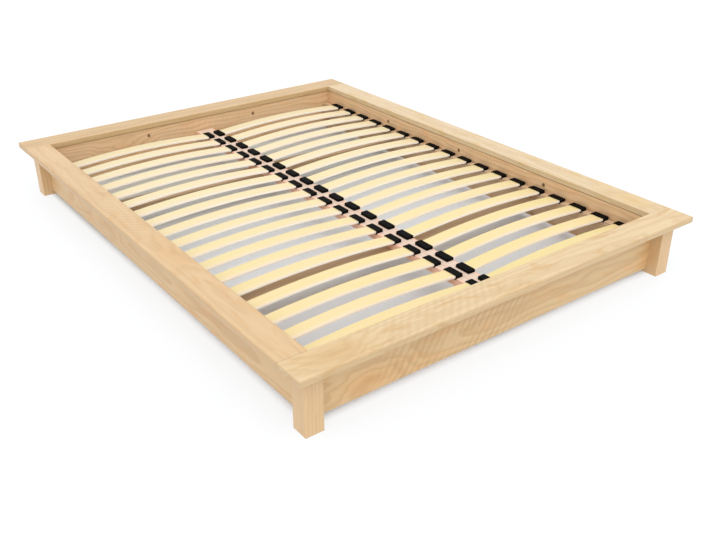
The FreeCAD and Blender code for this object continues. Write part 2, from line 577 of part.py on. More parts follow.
def draw_bowed_strip(sketch):
    """The side view of a slat: two arcs round one centre, closed by two upright ends."""
    half = value(SLAT_LENGTH) / 2
    low_radius = value(SLAT_RADIUS)
    thickness = value("Sizes.slat_thickness")
    centre_z = value("Sizes.slat_bow") - low_radius
    centre = FreeCAD.Vector(0, centre_z, 0)
    for radius in (low_radius, low_radius + thickness):
        rise = (radius ** 2 - half ** 2) ** 0.5
        start = FreeCAD.Vector(half, centre_z + rise, 0)
        crown = FreeCAD.Vector(0, centre_z + radius, 0)
        end = FreeCAD.Vector(-half, centre_z + rise, 0)
        sketch.addGeometry(Part.Arc(start, crown, end))
    low, high = sketch.Geometry[0], sketch.Geometry[1]
    sketch.addGeometry(Part.LineSegment(low.EndPoint, high.EndPoint))
    sketch.addGeometry(Part.LineSegment(low.StartPoint, high.StartPoint))
    for line, point in ((2, 2), (3, 1)):
        sketch.addConstraint(Sketcher.Constraint("Coincident", line, 1, 0, point))
        sketch.addConstraint(Sketcher.Constraint("Coincident", line, 2, 1, point))
    sketch.addConstraint(Sketcher.Constraint("Coincident", 0, 3, 1, 3))
    sketch.addConstraint(Sketcher.Constraint("Vertical", 2))
    sketch.addConstraint(Sketcher.Constraint("Vertical", 3))
    for arc, expression in ((0, SLAT_RADIUS), (1, f"{SLAT_RADIUS} + Sizes.slat_thickness")):
        number = sketch.addConstraint(Sketcher.Constraint("Radius", arc, value(expression)))
        sketch.setExpression(f"Constraints[{number}]", expression)
    pin(sketch, 0, 3, "0", f"Sizes.slat_bow - {SLAT_RADIUS}")
    for point, sign in ((1, 1), (2, -1)):
        expression = f"{sign} * {SLAT_LENGTH} / 2"
        number = sketch.addConstraint(
            Sketcher.Constraint("DistanceX", -1, 1, 0, point, value(expression)))
        sketch.setExpression(f"Constraints[{number}]", expression)


def make_slat(side, sign, row):
    """One slat of a column, counted from the head."""
    label = f"{side}_slat_{row + 1:02d}"
    body = new_body(label)
    sketch = new_sketch(body, "side_view", "XZ_Plane")
    draw_bowed_strip(sketch)
    add_pad(body, sketch, "Sizes.slat_width")
    round_edges(body, "rounding", "Sizes.slat_edge_rounding",
                lambda edge: edge.Curve.TypeId == "Part::GeomCircle")
    slat_y = f"{FIRST_SLAT_Y} - {row} * {SLAT_PITCH} + Sizes.slat_width / 2"
    place(body, f"{sign} * ({SLAT_INNER_X} + {SLAT_LENGTH} / 2)", slat_y, SLAT_END_Z)
    pieces[label] = body


# Small parts: one of each is modelled as a body and repeated at every place where it sits.

def model_end_cap():
    """A plastic cap: its back is at x = 0, its mouth looks along +X and its base is at z = 0."""
    body = new_body("end_cap_model")
    outline = new_sketch(body, "outline", "XY_Plane")
    draw_rectangle(outline, "0", "Sizes.cap_length", f"-{CAP_WIDTH} / 2", f"{CAP_WIDTH} / 2")
    add_pad(body, outline, CAP_HEIGHT)
    round_edges(body, "corners", "Sizes.cap_corner_rounding", lambda edge: (
        runs_along(edge, ALONG_Z) and abs(edge.CenterOfMass.x) < 1e-6))
    half_slot = "(Sizes.slat_width / 2 + Sizes.slat_side_clearance)"
    mouth = new_sketch(body, "mouth", "YZ_Plane", "Sizes.cap_length")
    draw_rectangle(mouth, f"-{half_slot}", half_slot, "Sizes.cap_wall",
                   f"Sizes.cap_wall + {CAP_SLOT}")
    add_pocket(body, mouth, "Sizes.cap_length - Sizes.cap_wall", False)
    top = value(CAP_HEIGHT)
    round_edges(body, "top_edges", "Sizes.cap_wall / 3", lambda edge: at_height(edge, top))
    return body


def model_cam_lock():
    """A cam: its face looks along +Z and the bolt enters along +X."""
    body = new_body("cam_lock_model")
    outline = new_sketch(body, "outline", "XY_Plane")
    outline.addGeometry(Part.Circle(FreeCAD.Vector(), ALONG_Z, value("Sizes.cam_diameter / 2")))
    number = outline.addConstraint(Sketcher.Constraint("Radius", 0, value("Sizes.cam_diameter / 2")))
    outline.setExpression(f"Constraints[{number}]", "Sizes.cam_diameter / 2")
    pin(outline, 0, 3, "0", "0")
    add_pad(body, outline, "Sizes.cam_depth")
    bolt_way = new_sketch(body, "bolt_way", "YZ_Plane", "-Sizes.cam_hole_start")
    bolt_z = "Sizes.cam_depth + Sizes.bore_clearance - Sizes.rail_thickness / 2"
    bolt_way.addGeometry(Part.Circle(FreeCAD.Vector(0, value(bolt_z), 0), ALONG_Z, value(SHANK_BORE)))
    number = bolt_way.addConstraint(Sketcher.Constraint("Radius", 0, value(SHANK_BORE)))
    bolt_way.setExpression(f"Constraints[{number}]", SHANK_BORE)
    pin(bolt_way, 0, 3, "0", bolt_z)
    add_pocket(body, bolt_way, "Sizes.cam_diameter", True)
    slot = new_sketch(body, "driver_slot", "XY_Plane", "Sizes.cam_depth")
    slot_reach = "Sizes.cam_diameter / 3"
    draw_rectangle(slot, f"-{slot_reach}", slot_reach, "-Sizes.cam_slot_width / 2",
                   "Sizes.cam_slot_width / 2")
    add_pocket(body, slot, "Sizes.cam_slot_depth", False)
    return body


def model_turned_part(label, profile):
    """A part of revolution about Z from its half profile."""
    body = new_body(label)
    sketch = new_sketch(body, "profile", "XZ_Plane")
    draw_polygon(sketch, profile)
    turn = body.newObject("PartDesign::Revolution", f"{label}_turn")
    turn.Profile = sketch
    turn.ReferenceAxis = (sketch, ["V_Axis"])
    turn.Angle = 360
    document.recompute()
    return body


def model_cam_bolt():
    """The bolt of a cam lock: its head is round the origin and its thread is at the far end."""
    head, neck = "Sizes.bolt_shank_diameter / 2", "Sizes.bolt_neck_diameter / 2"
    thread = "Sizes.bolt_thread_diameter / 2"
    head_low, head_high = "-Sizes.bolt_head_length / 2", "Sizes.bolt_head_length / 2"
    neck_end = f"{head_high} + Sizes.bolt_neck_length"
    thread_end = "Sizes.cam_edge_distance + Sizes.bolt_thread_length"
    return model_turned_part("cam_bolt_model", (
        ("0", head_low), (head, head_low), (head, head_high), (neck, head_high), (neck, neck_end),
        (head, neck_end), (head, "Sizes.cam_edge_distance"), (thread, "Sizes.cam_edge_distance"),
        (thread, thread_end), ("0", thread_end)))


def model_dowel():
    """A dowel with chamfered ends, its lower end at the origin."""
    radius = "Sizes.dowel_diameter / 2"
    tip = f"{radius} - Sizes.dowel_chamfer"
    return model_turned_part("dowel_model", (
        ("0", "0"), (tip, "0"), (radius, "Sizes.dowel_chamfer"),
        (radius, "Sizes.dowel_length - Sizes.dowel_chamfer"), (tip, "Sizes.dowel_length"),
        ("0", "Sizes.dowel_length")))


def model_screw():
    """A countersunk screw: its head's face is at the origin and its tip points along +Z."""
    shank, head = "Sizes.screw_diameter / 2", "Sizes.screw_head_diameter / 2"
    tip_start = f"{SCREW_LENGTH} - Sizes.screw_diameter"
    return model_turned_part("screw_model", (
        ("0", "0"), (head, "0"), (shank, SCREW_HEAD_HEIGHT), (shank, tip_start),
        ("0", SCREW_LENGTH)))


def at(x, y, z, front, top):
    """A placement whose local X looks along front and local Z along top."""
    rotation = FreeCAD.Rotation(front, top.cross(front), top, "ZXY")
    return FreeCAD.Placement(FreeCAD.Vector(x, y, z), rotation)


def repeat(label, model, placements):
    """One node with a copy of a model at each placement."""
    copies = []
    for placement in placements:
        copy = model.Shape.copy()
        copy.Placement = placement
        copies.append(copy)
    group = document.addObject("Part::Feature", label)
    group.Label = label
    group.Shape = Part.makeCompound(copies)
    pieces[label] = group


def end_cap_places():
    """Four caps to a row: two at the side rails and two back to back at the middle."""
    outer, inner, seat = value(OUTER_CAP_X), value(CENTRE_CAP_X), value(CAP_SEAT_Z)
    places = []
    for row in range(int(value("Sizes.slat_rows"))):
        y = value(f"{FIRST_SLAT_Y} - {row} * {SLAT_PITCH}")
        for sign in (-1, 1):
            places.append(at(sign * outer, y, seat, ALONG_X * -sign, ALONG_Z))
            places.append(at(sign * inner, y, seat, ALONG_X * sign, ALONG_Z))
    return places


def fitting_joints():
    """Each cam joint: the bolt's axis point at the cam, its direction and the cam face's normal."""
    floor_gap = value("Sizes.rail_floor_gap")
    rim_z = value(f"{RIM_BOTTOM} - Sizes.cam_edge_distance")
    side_x, end_y = value(SIDE_RAIL_X), value(END_RAIL_Y)
    end_run = value(f"{END_RAIL_LENGTH} / 2 - Sizes.cam_edge_distance")
    side_run = value(f"{SIDE_RAIL_LENGTH} / 2 - Sizes.cam_edge_distance")
    joints = []
    for sign in (-1, 1):
        for step in (-1, 1):
            run = step * value("Sizes.end_rim_cam_offset")
            joints.append(((run, sign * end_y, rim_z), ALONG_Z, ALONG_Y * -sign))
            for height in corner_heights("cam", True):
                place_z = floor_gap + value(height)
                joints.append(((step * end_run, sign * end_y, place_z), ALONG_X * step, ALONG_Y * -sign))
            for height in corner_heights("cam", False):
                place_z = floor_gap + value(height)
                joints.append(((sign * side_x, step * side_run, place_z), ALONG_Y * step, ALONG_X * -sign))
        for step in (-1, 0, 1):
            run = step * value("Sizes.side_rim_cam_offset")
            joints.append(((sign * side_x, run, rim_z), ALONG_Z, ALONG_X * -sign))
    return joints


def cam_places():
    """Each cam lies against the floor of its housing, its face flush with the rail's."""
    depth = value("Sizes.cam_depth + Sizes.bore_clearance - Sizes.rail_thickness / 2")
    places = []
    for point, bolt_direction, face_normal in fitting_joints():
        floor = FreeCAD.Vector(*point) - face_normal * depth
        places.append(at(floor.x, floor.y, floor.z, bolt_direction, face_normal))
    return places


def bolt_places():
    """Each bolt runs from its cam across the joint into the rim or a leg."""
    return [at(*point, face_normal, bolt_direction)
            for point, bolt_direction, face_normal in fitting_joints()]


def dowel_places():
    """Dowels across the corner joints, under the rim, in the rim's butt joints and in the cleats."""
    half = value("Sizes.dowel_length / 2")
    rim_z = value(f"{RIM_BOTTOM}") - half
    rim_middle_z = value(f"{RIM_BOTTOM} + Sizes.rim_thickness / 2")
    floor_gap = value("Sizes.rail_floor_gap")
    side_x, end_y = value(SIDE_RAIL_X), value(END_RAIL_Y)
    end_run, side_run = value(f"{END_RAIL_LENGTH} / 2"), value(f"{SIDE_RAIL_LENGTH} / 2")
    cleat_x = value(f"{RAIL_INNER_X} + Sizes.cleat_dowel_in_rail")
    cleat_z = value("Sizes.cleat_top - Sizes.cleat_height / 2")
    places = []
    for sign in (-1, 1):
        places.append(at(0, sign * end_y, rim_z, ALONG_X, ALONG_Z))
        for run in cleat_dowel_runs():
            places.append(at(sign * cleat_x, value(run), cleat_z, ALONG_Z, ALONG_X * -sign))
        for step in (-1, 1):
            places.append(at(step * value(LEG_X), sign * value(LEG_Y), rim_z, ALONG_X, ALONG_Z))
            run = step * value("Sizes.side_rim_dowel_offset")
            places.append(at(sign * side_x, run, rim_z, ALONG_X, ALONG_Z))
            for height in corner_heights("dowel", True):
                start = step * (end_run - half)
                place_z = floor_gap + value(height)
                places.append(at(start, sign * end_y, place_z, ALONG_Z, ALONG_X * step))
            for height in corner_heights("dowel", False):
                start = step * (side_run - half)
                place_z = floor_gap + value(height)
                places.append(at(sign * side_x, start, place_z, ALONG_Z, ALONG_Y * step))
            for shift in (-1, 1):
                across = step * value(SIDE_RIM_X) + shift * value("Sizes.rim_joint_dowel_offset")
                start = sign * (value(OPENING_Y) - half)
                places.append(at(across, start, rim_middle_z, ALONG_Z, ALONG_Y * sign))
    return places


def screw_places():
    """Screws through the side rails into the cross rails, and up through these into the centre rail."""
    outer_x = value(BASE_X)
    side_z = value("Sizes.cleat_top + Sizes.cross_rail_height / 2")
    places = []
    for end in (-1, 1):
        cross_y = end * value("Sizes.cross_rail_offset")
        for sign in (-1, 1):
            across = sign * value("Sizes.centre_screw_offset")
            places.append(at(across, cross_y, value("Sizes.cleat_top"), ALONG_X, ALONG_Z))
            for shift in (-1, 1):
                y = cross_y + shift * value("Sizes.side_screw_offset")
                places.append(at(sign * outer_x, y, side_z, ALONG_Z, ALONG_X * -sign))
    return places


def build_frame():
    """The rim, rails, legs and cleats."""
    for end, sign in ENDS:
        make_end_rim_board(end, sign)
        make_end_rail(end, sign)
        for side, side_sign in SIDES:
            make_leg(end, sign, side, side_sign)
    for side, sign in SIDES:
        make_side_rim_board(side, sign)
        make_side_rail(side, sign)
        make_cleat(side, sign)


def build_slatted_base():
    """The base's rails and slats."""
    for side, sign in SIDES:
        make_base_side_rail(side, sign)
        for row in range(int(value("Sizes.slat_rows"))):
            make_slat(side, sign, row)
    make_base_centre_rail()
    for end, sign in ENDS:
        make_cross_rail(end, sign)


def build_small_parts():
    """The end caps and all fittings."""
    repeat("slat_end_caps", model_end_cap(), end_cap_places())
    repeat("cam_locks", model_cam_lock(), cam_places())
    repeat("cam_bolts", model_cam_bolt(), bolt_places())
    repeat("wood_dowels", model_dowel(), dowel_places())
    repeat("base_screws", model_screw(), screw_places())


def check_pieces():
    """Stop before anything is written if an object failed or a shape is unsound."""
    document.recompute()
    for item in document.Objects:
        if "Invalid" in item.State or "Error" in item.State:
            raise RuntimeError(f"{item.Label} failed: {item.State}")
    for label, piece in pieces.items():
        if piece.Shape.isNull() or not piece.Shape.isValid():
            raise RuntimeError(f"{label} has no sound shape")


def write_pieces():
    """Write each piece as a STEP file under its own name."""
    os.makedirs("parts", exist_ok=True)
    for label, piece in pieces.items():
        piece.Shape.exportStep(f"parts/{label}.step")


fill_sheet()
build_frame()
build_slatted_base()
build_small_parts()
check_pieces()
write_pieces()
print(f"{len(pieces)} nodes written")
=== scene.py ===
import bpy
import bmesh
from math import cos, pi, radians, sin, sqrt
from mathutils import Matrix, Vector


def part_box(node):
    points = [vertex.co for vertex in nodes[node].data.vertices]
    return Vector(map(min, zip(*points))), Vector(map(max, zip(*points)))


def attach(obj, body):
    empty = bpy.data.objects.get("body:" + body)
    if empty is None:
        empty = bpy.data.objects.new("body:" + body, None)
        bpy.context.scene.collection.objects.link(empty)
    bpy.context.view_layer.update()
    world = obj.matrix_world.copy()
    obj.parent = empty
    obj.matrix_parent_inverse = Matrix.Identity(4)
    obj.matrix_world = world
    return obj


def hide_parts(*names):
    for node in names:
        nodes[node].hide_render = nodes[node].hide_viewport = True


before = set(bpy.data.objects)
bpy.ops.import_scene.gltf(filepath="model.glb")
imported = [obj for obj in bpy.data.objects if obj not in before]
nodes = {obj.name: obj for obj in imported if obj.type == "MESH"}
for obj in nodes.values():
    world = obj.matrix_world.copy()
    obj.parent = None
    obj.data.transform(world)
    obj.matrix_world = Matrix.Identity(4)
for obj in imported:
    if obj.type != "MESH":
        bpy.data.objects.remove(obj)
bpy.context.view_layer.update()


# ---------------------------------------------------------------------------------------------
# Studio. The bed stands alone on a sheet that glows evenly, so that it stays white beside the bed
# and only a trace of shadow lies on it. Under the bed, and a little past its head and right sides,
# the glow is cut and the sheet is painted grey, darker toward the head: a painted shade, with a
# soft painted shadow at its edge along the rails. The camera is held at chest height off the left
# corner of the foot end.

CAMERA_PLACE = (-1.7042, -2.5215, 1.4420)
CAMERA_YAW = radians(-36.645)
CAMERA_PITCH = radians(28.187)
CAMERA_ROLL = radians(-0.134)
CAMERA_REACH = 60
FOCAL_PIXELS = 860.4
IMAGE_WIDTH_PIXELS = 716
SENSOR_WIDTH = 36.0

camera_data = bpy.data.cameras.new("studio_camera")
camera_data.sensor_width = SENSOR_WIDTH
camera_data.lens = FOCAL_PIXELS / IMAGE_WIDTH_PIXELS * SENSOR_WIDTH
camera_data.clip_end = CAMERA_REACH
camera = bpy.data.objects.new("studio_camera", camera_data)
bpy.context.scene.collection.objects.link(camera)
camera.matrix_world = (Matrix.Translation(CAMERA_PLACE)
                       @ Matrix.Rotation(CAMERA_YAW, 4, "Z")
                       @ Matrix.Rotation(pi / 2 - CAMERA_PITCH, 4, "X")
                       @ Matrix.Rotation(CAMERA_ROLL, 4, "Z"))
bpy.context.scene.camera = camera
bpy.context.scene.view_settings.view_transform = "Standard"

AIR_STRENGTH = 0.96
SOFTBOX_ENERGY = 1.5
SOFTBOX_SPREAD = radians(60)
SOFTBOX_DIRECTION = (0.35, 0.55, -1.0)

studio_air = bpy.data.worlds.new("studio_air")
studio_air.use_nodes = True
air_light = studio_air.node_tree.nodes["Background"]
air_light.inputs["Color"].default_value = (1.0, 1.0, 1.0, 1)
air_light.inputs["Strength"].default_value = AIR_STRENGTH
bpy.context.scene.world = studio_air

soft_light = bpy.data.lights.new("overhead_softbox", "SUN")
soft_light.energy = SOFTBOX_ENERGY
soft_light.angle = SOFTBOX_SPREAD
soft_lamp = bpy.data.objects.new("overhead_softbox", soft_light)
soft_lamp.rotation_euler = Vector(SOFTBOX_DIRECTION).to_track_quat("-Z", "Y").to_euler()
bpy.context.scene.collection.objects.link(soft_lamp)


def new_finish(name):
    """A material, with its node tree and its shader."""
    finish = bpy.data.materials.new(name)
    finish.use_nodes = True
    return finish, finish.node_tree, finish.node_tree.nodes["Principled BSDF"]


def bed_place(tree):
    """Where a point of a piece lies on the bed, in metres."""
    return tree.nodes.new("ShaderNodeTexCoord").outputs["Object"]


def separate(tree, place):
    """The three coordinates of a place."""
    node = tree.nodes.new("ShaderNodeSeparateXYZ")
    tree.links.new(place, node.inputs[0])
    return node.outputs


def calculate(tree, operation, first, second=None, third=None):
    """A math node on sockets or plain numbers, giving its result socket."""
    node = tree.nodes.new("ShaderNodeMath")
    node.operation = operation
    for socket, given in zip(node.inputs, (first, second, third)):
        if given is None:
            continue
        if isinstance(given, (int, float)):
            socket.default_value = given
        else:
            tree.links.new(given, socket)
    return node.outputs[0]


def fade(tree, value, start, end):
    """A smooth step of a value socket from 0 at start to 1 at end."""
    node = tree.nodes.new("ShaderNodeMapRange")
    node.interpolation_type = "SMOOTHSTEP"
    node.inputs["From Min"].default_value = start
    node.inputs["From Max"].default_value = end
    tree.links.new(value, node.inputs["Value"])
    return node.outputs[0]


def tint(tree, under, over, share):
    """One colour mixed over another by a share socket, giving the colour socket."""
    mix = tree.nodes.new("ShaderNodeMix")
    mix.data_type = "RGBA"
    for socket, given in ((mix.inputs[6], under), (mix.inputs[7], over)):
        if isinstance(given, tuple):
            socket.default_value = (*given, 1)
        else:
            tree.links.new(given, socket)
    tree.links.new(share, mix.inputs[0])
    return mix.outputs[2]


SHEET_SIZE = 30
SHEET_GLOW = 0.76
# Painted shade under the bed: its middle, half size and soft edge, its grey from foot to head, and
# the weak glow inside it.
PAINTED_SHADE_MIDDLE = (0.0575, 0.0625)
PAINTED_SHADE_HALF_SIZE = (0.7725, 1.0375)
PAINTED_SHADE_EDGE = (-0.010, 0.028)
PAINTED_SHADE_FOOT_TO_HEAD = (-0.10, 0.80)
PAINTED_SHADE_AT_FOOT = (0.82, 0.85, 0.90)
PAINTED_SHADE_AT_HEAD = (0.60, 0.60, 0.55)
OPEN_SHEET = (0.20, 0.20, 0.20)
GLOW_IN_PAINTED_SHADE = (0.040, 0.050, 0.065)
GLOW_BESIDE_BED = (0.990, 1.010, 1.030)

bpy.ops.mesh.primitive_plane_add(size=SHEET_SIZE, location=(0, 0, 0))
floor = bpy.context.object
floor.name = "studio_floor"
sheet_finish, sheet_tree, sheet_shader = new_finish("white_studio_sheet")
sheet_shader.inputs["Roughness"].default_value = 0.9
sheet_shader.inputs["Specular IOR Level"].default_value = 0.0
sheet_shader.inputs["Emission Strength"].default_value = SHEET_GLOW
sheet_place = separate(sheet_tree, bed_place(sheet_tree))
past_painted_shade = []
for way, middle, half_size in zip(("X", "Y"), PAINTED_SHADE_MIDDLE, PAINTED_SHADE_HALF_SIZE):
    from_middle = calculate(sheet_tree, "ABSOLUTE", calculate(
        sheet_tree, "SUBTRACT", sheet_place[way], middle))
    past_painted_shade.append(calculate(sheet_tree, "SUBTRACT", from_middle, half_size))
# Painted shade: grey and a weak glow under the bed, with a soft painted shadow at its edge.
outside_painted_shade = fade(sheet_tree, calculate(sheet_tree, "MAXIMUM", *past_painted_shade), *PAINTED_SHADE_EDGE)
painted_shade_colour = tint(sheet_tree, PAINTED_SHADE_AT_FOOT, PAINTED_SHADE_AT_HEAD,
               fade(sheet_tree, sheet_place["Y"], *PAINTED_SHADE_FOOT_TO_HEAD))
sheet_tree.links.new(tint(sheet_tree, painted_shade_colour, OPEN_SHEET, outside_painted_shade),
                     sheet_shader.inputs["Base Color"])
sheet_tree.links.new(tint(sheet_tree, GLOW_IN_PAINTED_SHADE, GLOW_BESIDE_BED, outside_painted_shade),
                     sheet_shader.inputs["Emission Color"])
floor.data.materials.append(sheet_finish)


# ---------------------------------------------------------------------------------------------
# Legs. Four square posts of pale pine, planed, their arrises just broken, clear lacquered. The
# grain stands upright, and fine straight rings run down each face.

# The wood's scales are per metre, first along the grain and then across it.
FIBRE_SCALES = (14, 520, 520)
STREAK_SCALES = (5, 95, 95)
CLOUD_SCALES = (7, 24, 24)
RING_SWAY_SCALES = (1.7, 5.1, 5.1)
RING_LIFT_SCALES = (2.3, 6.9, 6.9)
RING_CRINKLE_SCALES = (7, 24, 24)
RING_CRINKLE = 0.0055
RING_RELIEF = -0.4
LATE_WOOD_SHARPNESS = 1.6
KNOT_SCALES = (9, 26, 26)
KNOT_RIPPLE_SCALES = (12, 22, 22)
KNOT_RIPPLE = 1.1
KNOT_HEART_SHARES = (0.90, 0.72, 0.50)
KNOT_HEART_DEPTH = 0.7
CURL_BEND_SCALES = (4, 9, 9)
CURL_BEND = 0.045
CURL_PATCH_SCALES = (7, 16, 16)
FIBRE_ROUGHNESS = 0.16
ARRIS_RADIUS = 0.0016
GRAIN_ALONG_X = (0, 0, 0)
GRAIN_ALONG_Y = (0, 0, -pi / 2)
GRAIN_ALONG_Z = (0, pi / 2, 0)
FAR_OFF = 9.0


def new_group(name, inputs, outputs):
    """A shader node group, with the sockets of its inputs and its outputs by name."""
    tree = bpy.data.node_groups.new(name, "ShaderNodeTree")
    for label, kind, default in inputs:
        socket = tree.interface.new_socket(label, in_out="INPUT", socket_type=kind)
        if default is not None:
            socket.default_value = default
    for label, kind in outputs:
        tree.interface.new_socket(label, in_out="OUTPUT", socket_type=kind)
    given = tree.nodes.new("NodeGroupInput").outputs
    results = tree.nodes.new("NodeGroupOutput").inputs
    return tree, given, results


def put_group(tree, group, **given):
    """A group node in a tree, each of its inputs linked or set, giving its outputs. An input's
    name is written here in small letters, with underscores for its spaces."""
    node = tree.nodes.new("ShaderNodeGroup")
    node.node_tree = group
    for name, value in given.items():
        socket = node.inputs[name.replace("_", " ").title()]
        if isinstance(value, bpy.types.NodeSocket):
            tree.links.new(value, socket)
        elif socket.type == "RGBA":
            socket.default_value = (*value, 1)
        else:
            socket.default_value = value
    return node.outputs


def vector_math(tree, operation, first, second=None):
    """A vector math node on sockets, giving its outputs."""
    node = tree.nodes.new("ShaderNodeVectorMath")
    node.operation = operation
    tree.links.new(first, node.inputs[0])
    if second is not None:
        tree.links.new(second, node.inputs[1])
    return node.outputs


def stretched(tree, place, scales, shift=(0, 0, 0)):
    """A place scaled along its three axes and then moved."""
    node = tree.nodes.new("ShaderNodeMapping")
    node.inputs["Scale"].default_value = scales
    node.inputs["Location"].default_value = shift
    tree.links.new(place, node.inputs["Vector"])
    return node.outputs[0]


def noise(tree, place, scales, detail=3.0, roughness=0.5, distortion=0.0, shift=(0, 0, 0)):
    """A noise texture over a stretched place, giving its value socket."""
    node = tree.nodes.new("ShaderNodeTexNoise")
    node.inputs["Scale"].default_value = 1.0
    node.inputs["Detail"].default_value = detail
    node.inputs["Roughness"].default_value = roughness
    node.inputs["Distortion"].default_value = distortion
    tree.links.new(stretched(tree, place, scales, shift), node.inputs["Vector"])
    return node.outputs["Fac"]


def waver(tree, place, scales, detail, shift=(0, 0, 0)):
    """A noise that swings to either side of 0."""
    return calculate(tree, "SUBTRACT", noise(tree, place, scales, detail, shift=shift), 0.5)


def fade_out(tree, value, start, end):
    """A smooth step of a value socket from 1 at start to 0 at end."""
    return calculate(tree, "SUBTRACT", 1.0, fade(tree, value, start, end))


def above(tree, value, level, gain):
    """How far a value lies above a level, times a gain, and 0 below the level."""
    over = calculate(tree, "MULTIPLY", calculate(tree, "SUBTRACT", value, level), gain)
    return calculate(tree, "MAXIMUM", over, 0.0)


def add_roughness(tree, shader, value, least, spread):
    """Roughness of a surface, rising from its least with a value from 0 to 1."""
    tree.links.new(calculate(tree, "MULTIPLY_ADD", value, spread, least),
                   shader.inputs["Roughness"])


def add_relief(tree, shader, height, strength, depth):
    """Shallow relief of a surface, giving its bump node."""
    relief = tree.nodes.new("ShaderNodeBump")
    relief.inputs["Strength"].default_value = strength
    relief.inputs["Distance"].default_value = depth
    tree.links.new(height, relief.inputs["Height"])
    tree.links.new(relief.outputs["Normal"], shader.inputs["Normal"])
    return relief


def add_knot(tree, given):
    """A ragged oval round the knot: the bulge of the rings, and the knot's dark heart."""
    to_knot = vector_math(tree, "SUBTRACT", given["Place"], given["Knot"])[0]
    oval = vector_math(tree, "LENGTH", stretched(tree, to_knot, KNOT_SCALES))["Value"]
    ripple = noise(tree, given["Place"], KNOT_RIPPLE_SCALES, detail=2.0)
    ragged = calculate(tree, "MULTIPLY_ADD", ripple, KNOT_RIPPLE,
                       calculate(tree, "SUBTRACT", oval, KNOT_RIPPLE / 2))
    return (fade_out(tree, ragged, start=0.0, end=1.9),
            fade_out(tree, ragged, start=-0.30, end=0.45))


def add_rings(tree, given, from_pith, swell):
    """Growth rings round the pith: a soft rise to the late wood, then a quick fall."""
    _, sideways, upwards = separate(tree, from_pith)
    sway = waver(tree, from_pith, RING_SWAY_SCALES, detail=2.0)
    lift = waver(tree, from_pith, RING_LIFT_SCALES, detail=2.5, shift=(16.1, 6.9, 11.5))
    crinkle = waver(tree, from_pith, RING_CRINKLE_SCALES, detail=2.0)
    sideways = calculate(tree, "MULTIPLY_ADD", sway, given["Wander"], sideways)
    upwards = calculate(tree, "MULTIPLY_ADD", lift, given["Wander"], upwards)
    radius = calculate(tree, "SQRT", calculate(
        tree, "ADD", calculate(tree, "MULTIPLY", sideways, sideways),
        calculate(tree, "MULTIPLY", upwards, upwards)))
    radius = calculate(tree, "MULTIPLY_ADD", crinkle, RING_CRINKLE, radius)
    radius = calculate(tree, "ADD", radius, swell)
    ring = calculate(tree, "FRACT", calculate(
        tree, "MULTIPLY", radius, given["Rings Per Metre"]))
    late_wood = calculate(tree, "POWER", fade(tree, ring, start=0.15, end=0.86),
                          LATE_WOOD_SHARPNESS)
    return calculate(tree, "MULTIPLY", late_wood, fade_out(tree, ring, start=0.88, end=1.0))


def add_curl(tree, given, from_pith):
    """Fiddleback curl: slanting waves over a part of the board, in patches."""
    along, across, up = separate(tree, given["Place"])
    slanting = calculate(tree, "SUBTRACT", along, calculate(
        tree, "MULTIPLY", calculate(tree, "ADD", across, up), given["Curl Slant"]))
    bend = noise(tree, from_pith, CURL_BEND_SCALES, detail=2.5, shift=(4, 4, 4))
    phase = calculate(tree, "DIVIDE", calculate(
        tree, "MULTIPLY_ADD", bend, CURL_BEND, slanting), given["Curl Pitch"])
    wave = calculate(tree, "MULTIPLY_ADD", calculate(
        tree, "SINE", calculate(tree, "MULTIPLY", phase, 2 * pi)), 0.5, 0.5)
    patches = fade(tree, noise(tree, from_pith, CURL_PATCH_SCALES, detail=2.0, shift=(9, 1, 6)),
                   start=0.26, end=0.56)
    off_middle = calculate(tree, "DIVIDE", calculate(
        tree, "SUBTRACT", along, given["Curl Middle"]), given["Curl Reach"])
    part = fade_out(tree, calculate(tree, "ABSOLUTE", off_middle), start=0.55, end=1.0)
    return calculate(tree, "MULTIPLY", wave, calculate(tree, "MULTIPLY", patches, part))


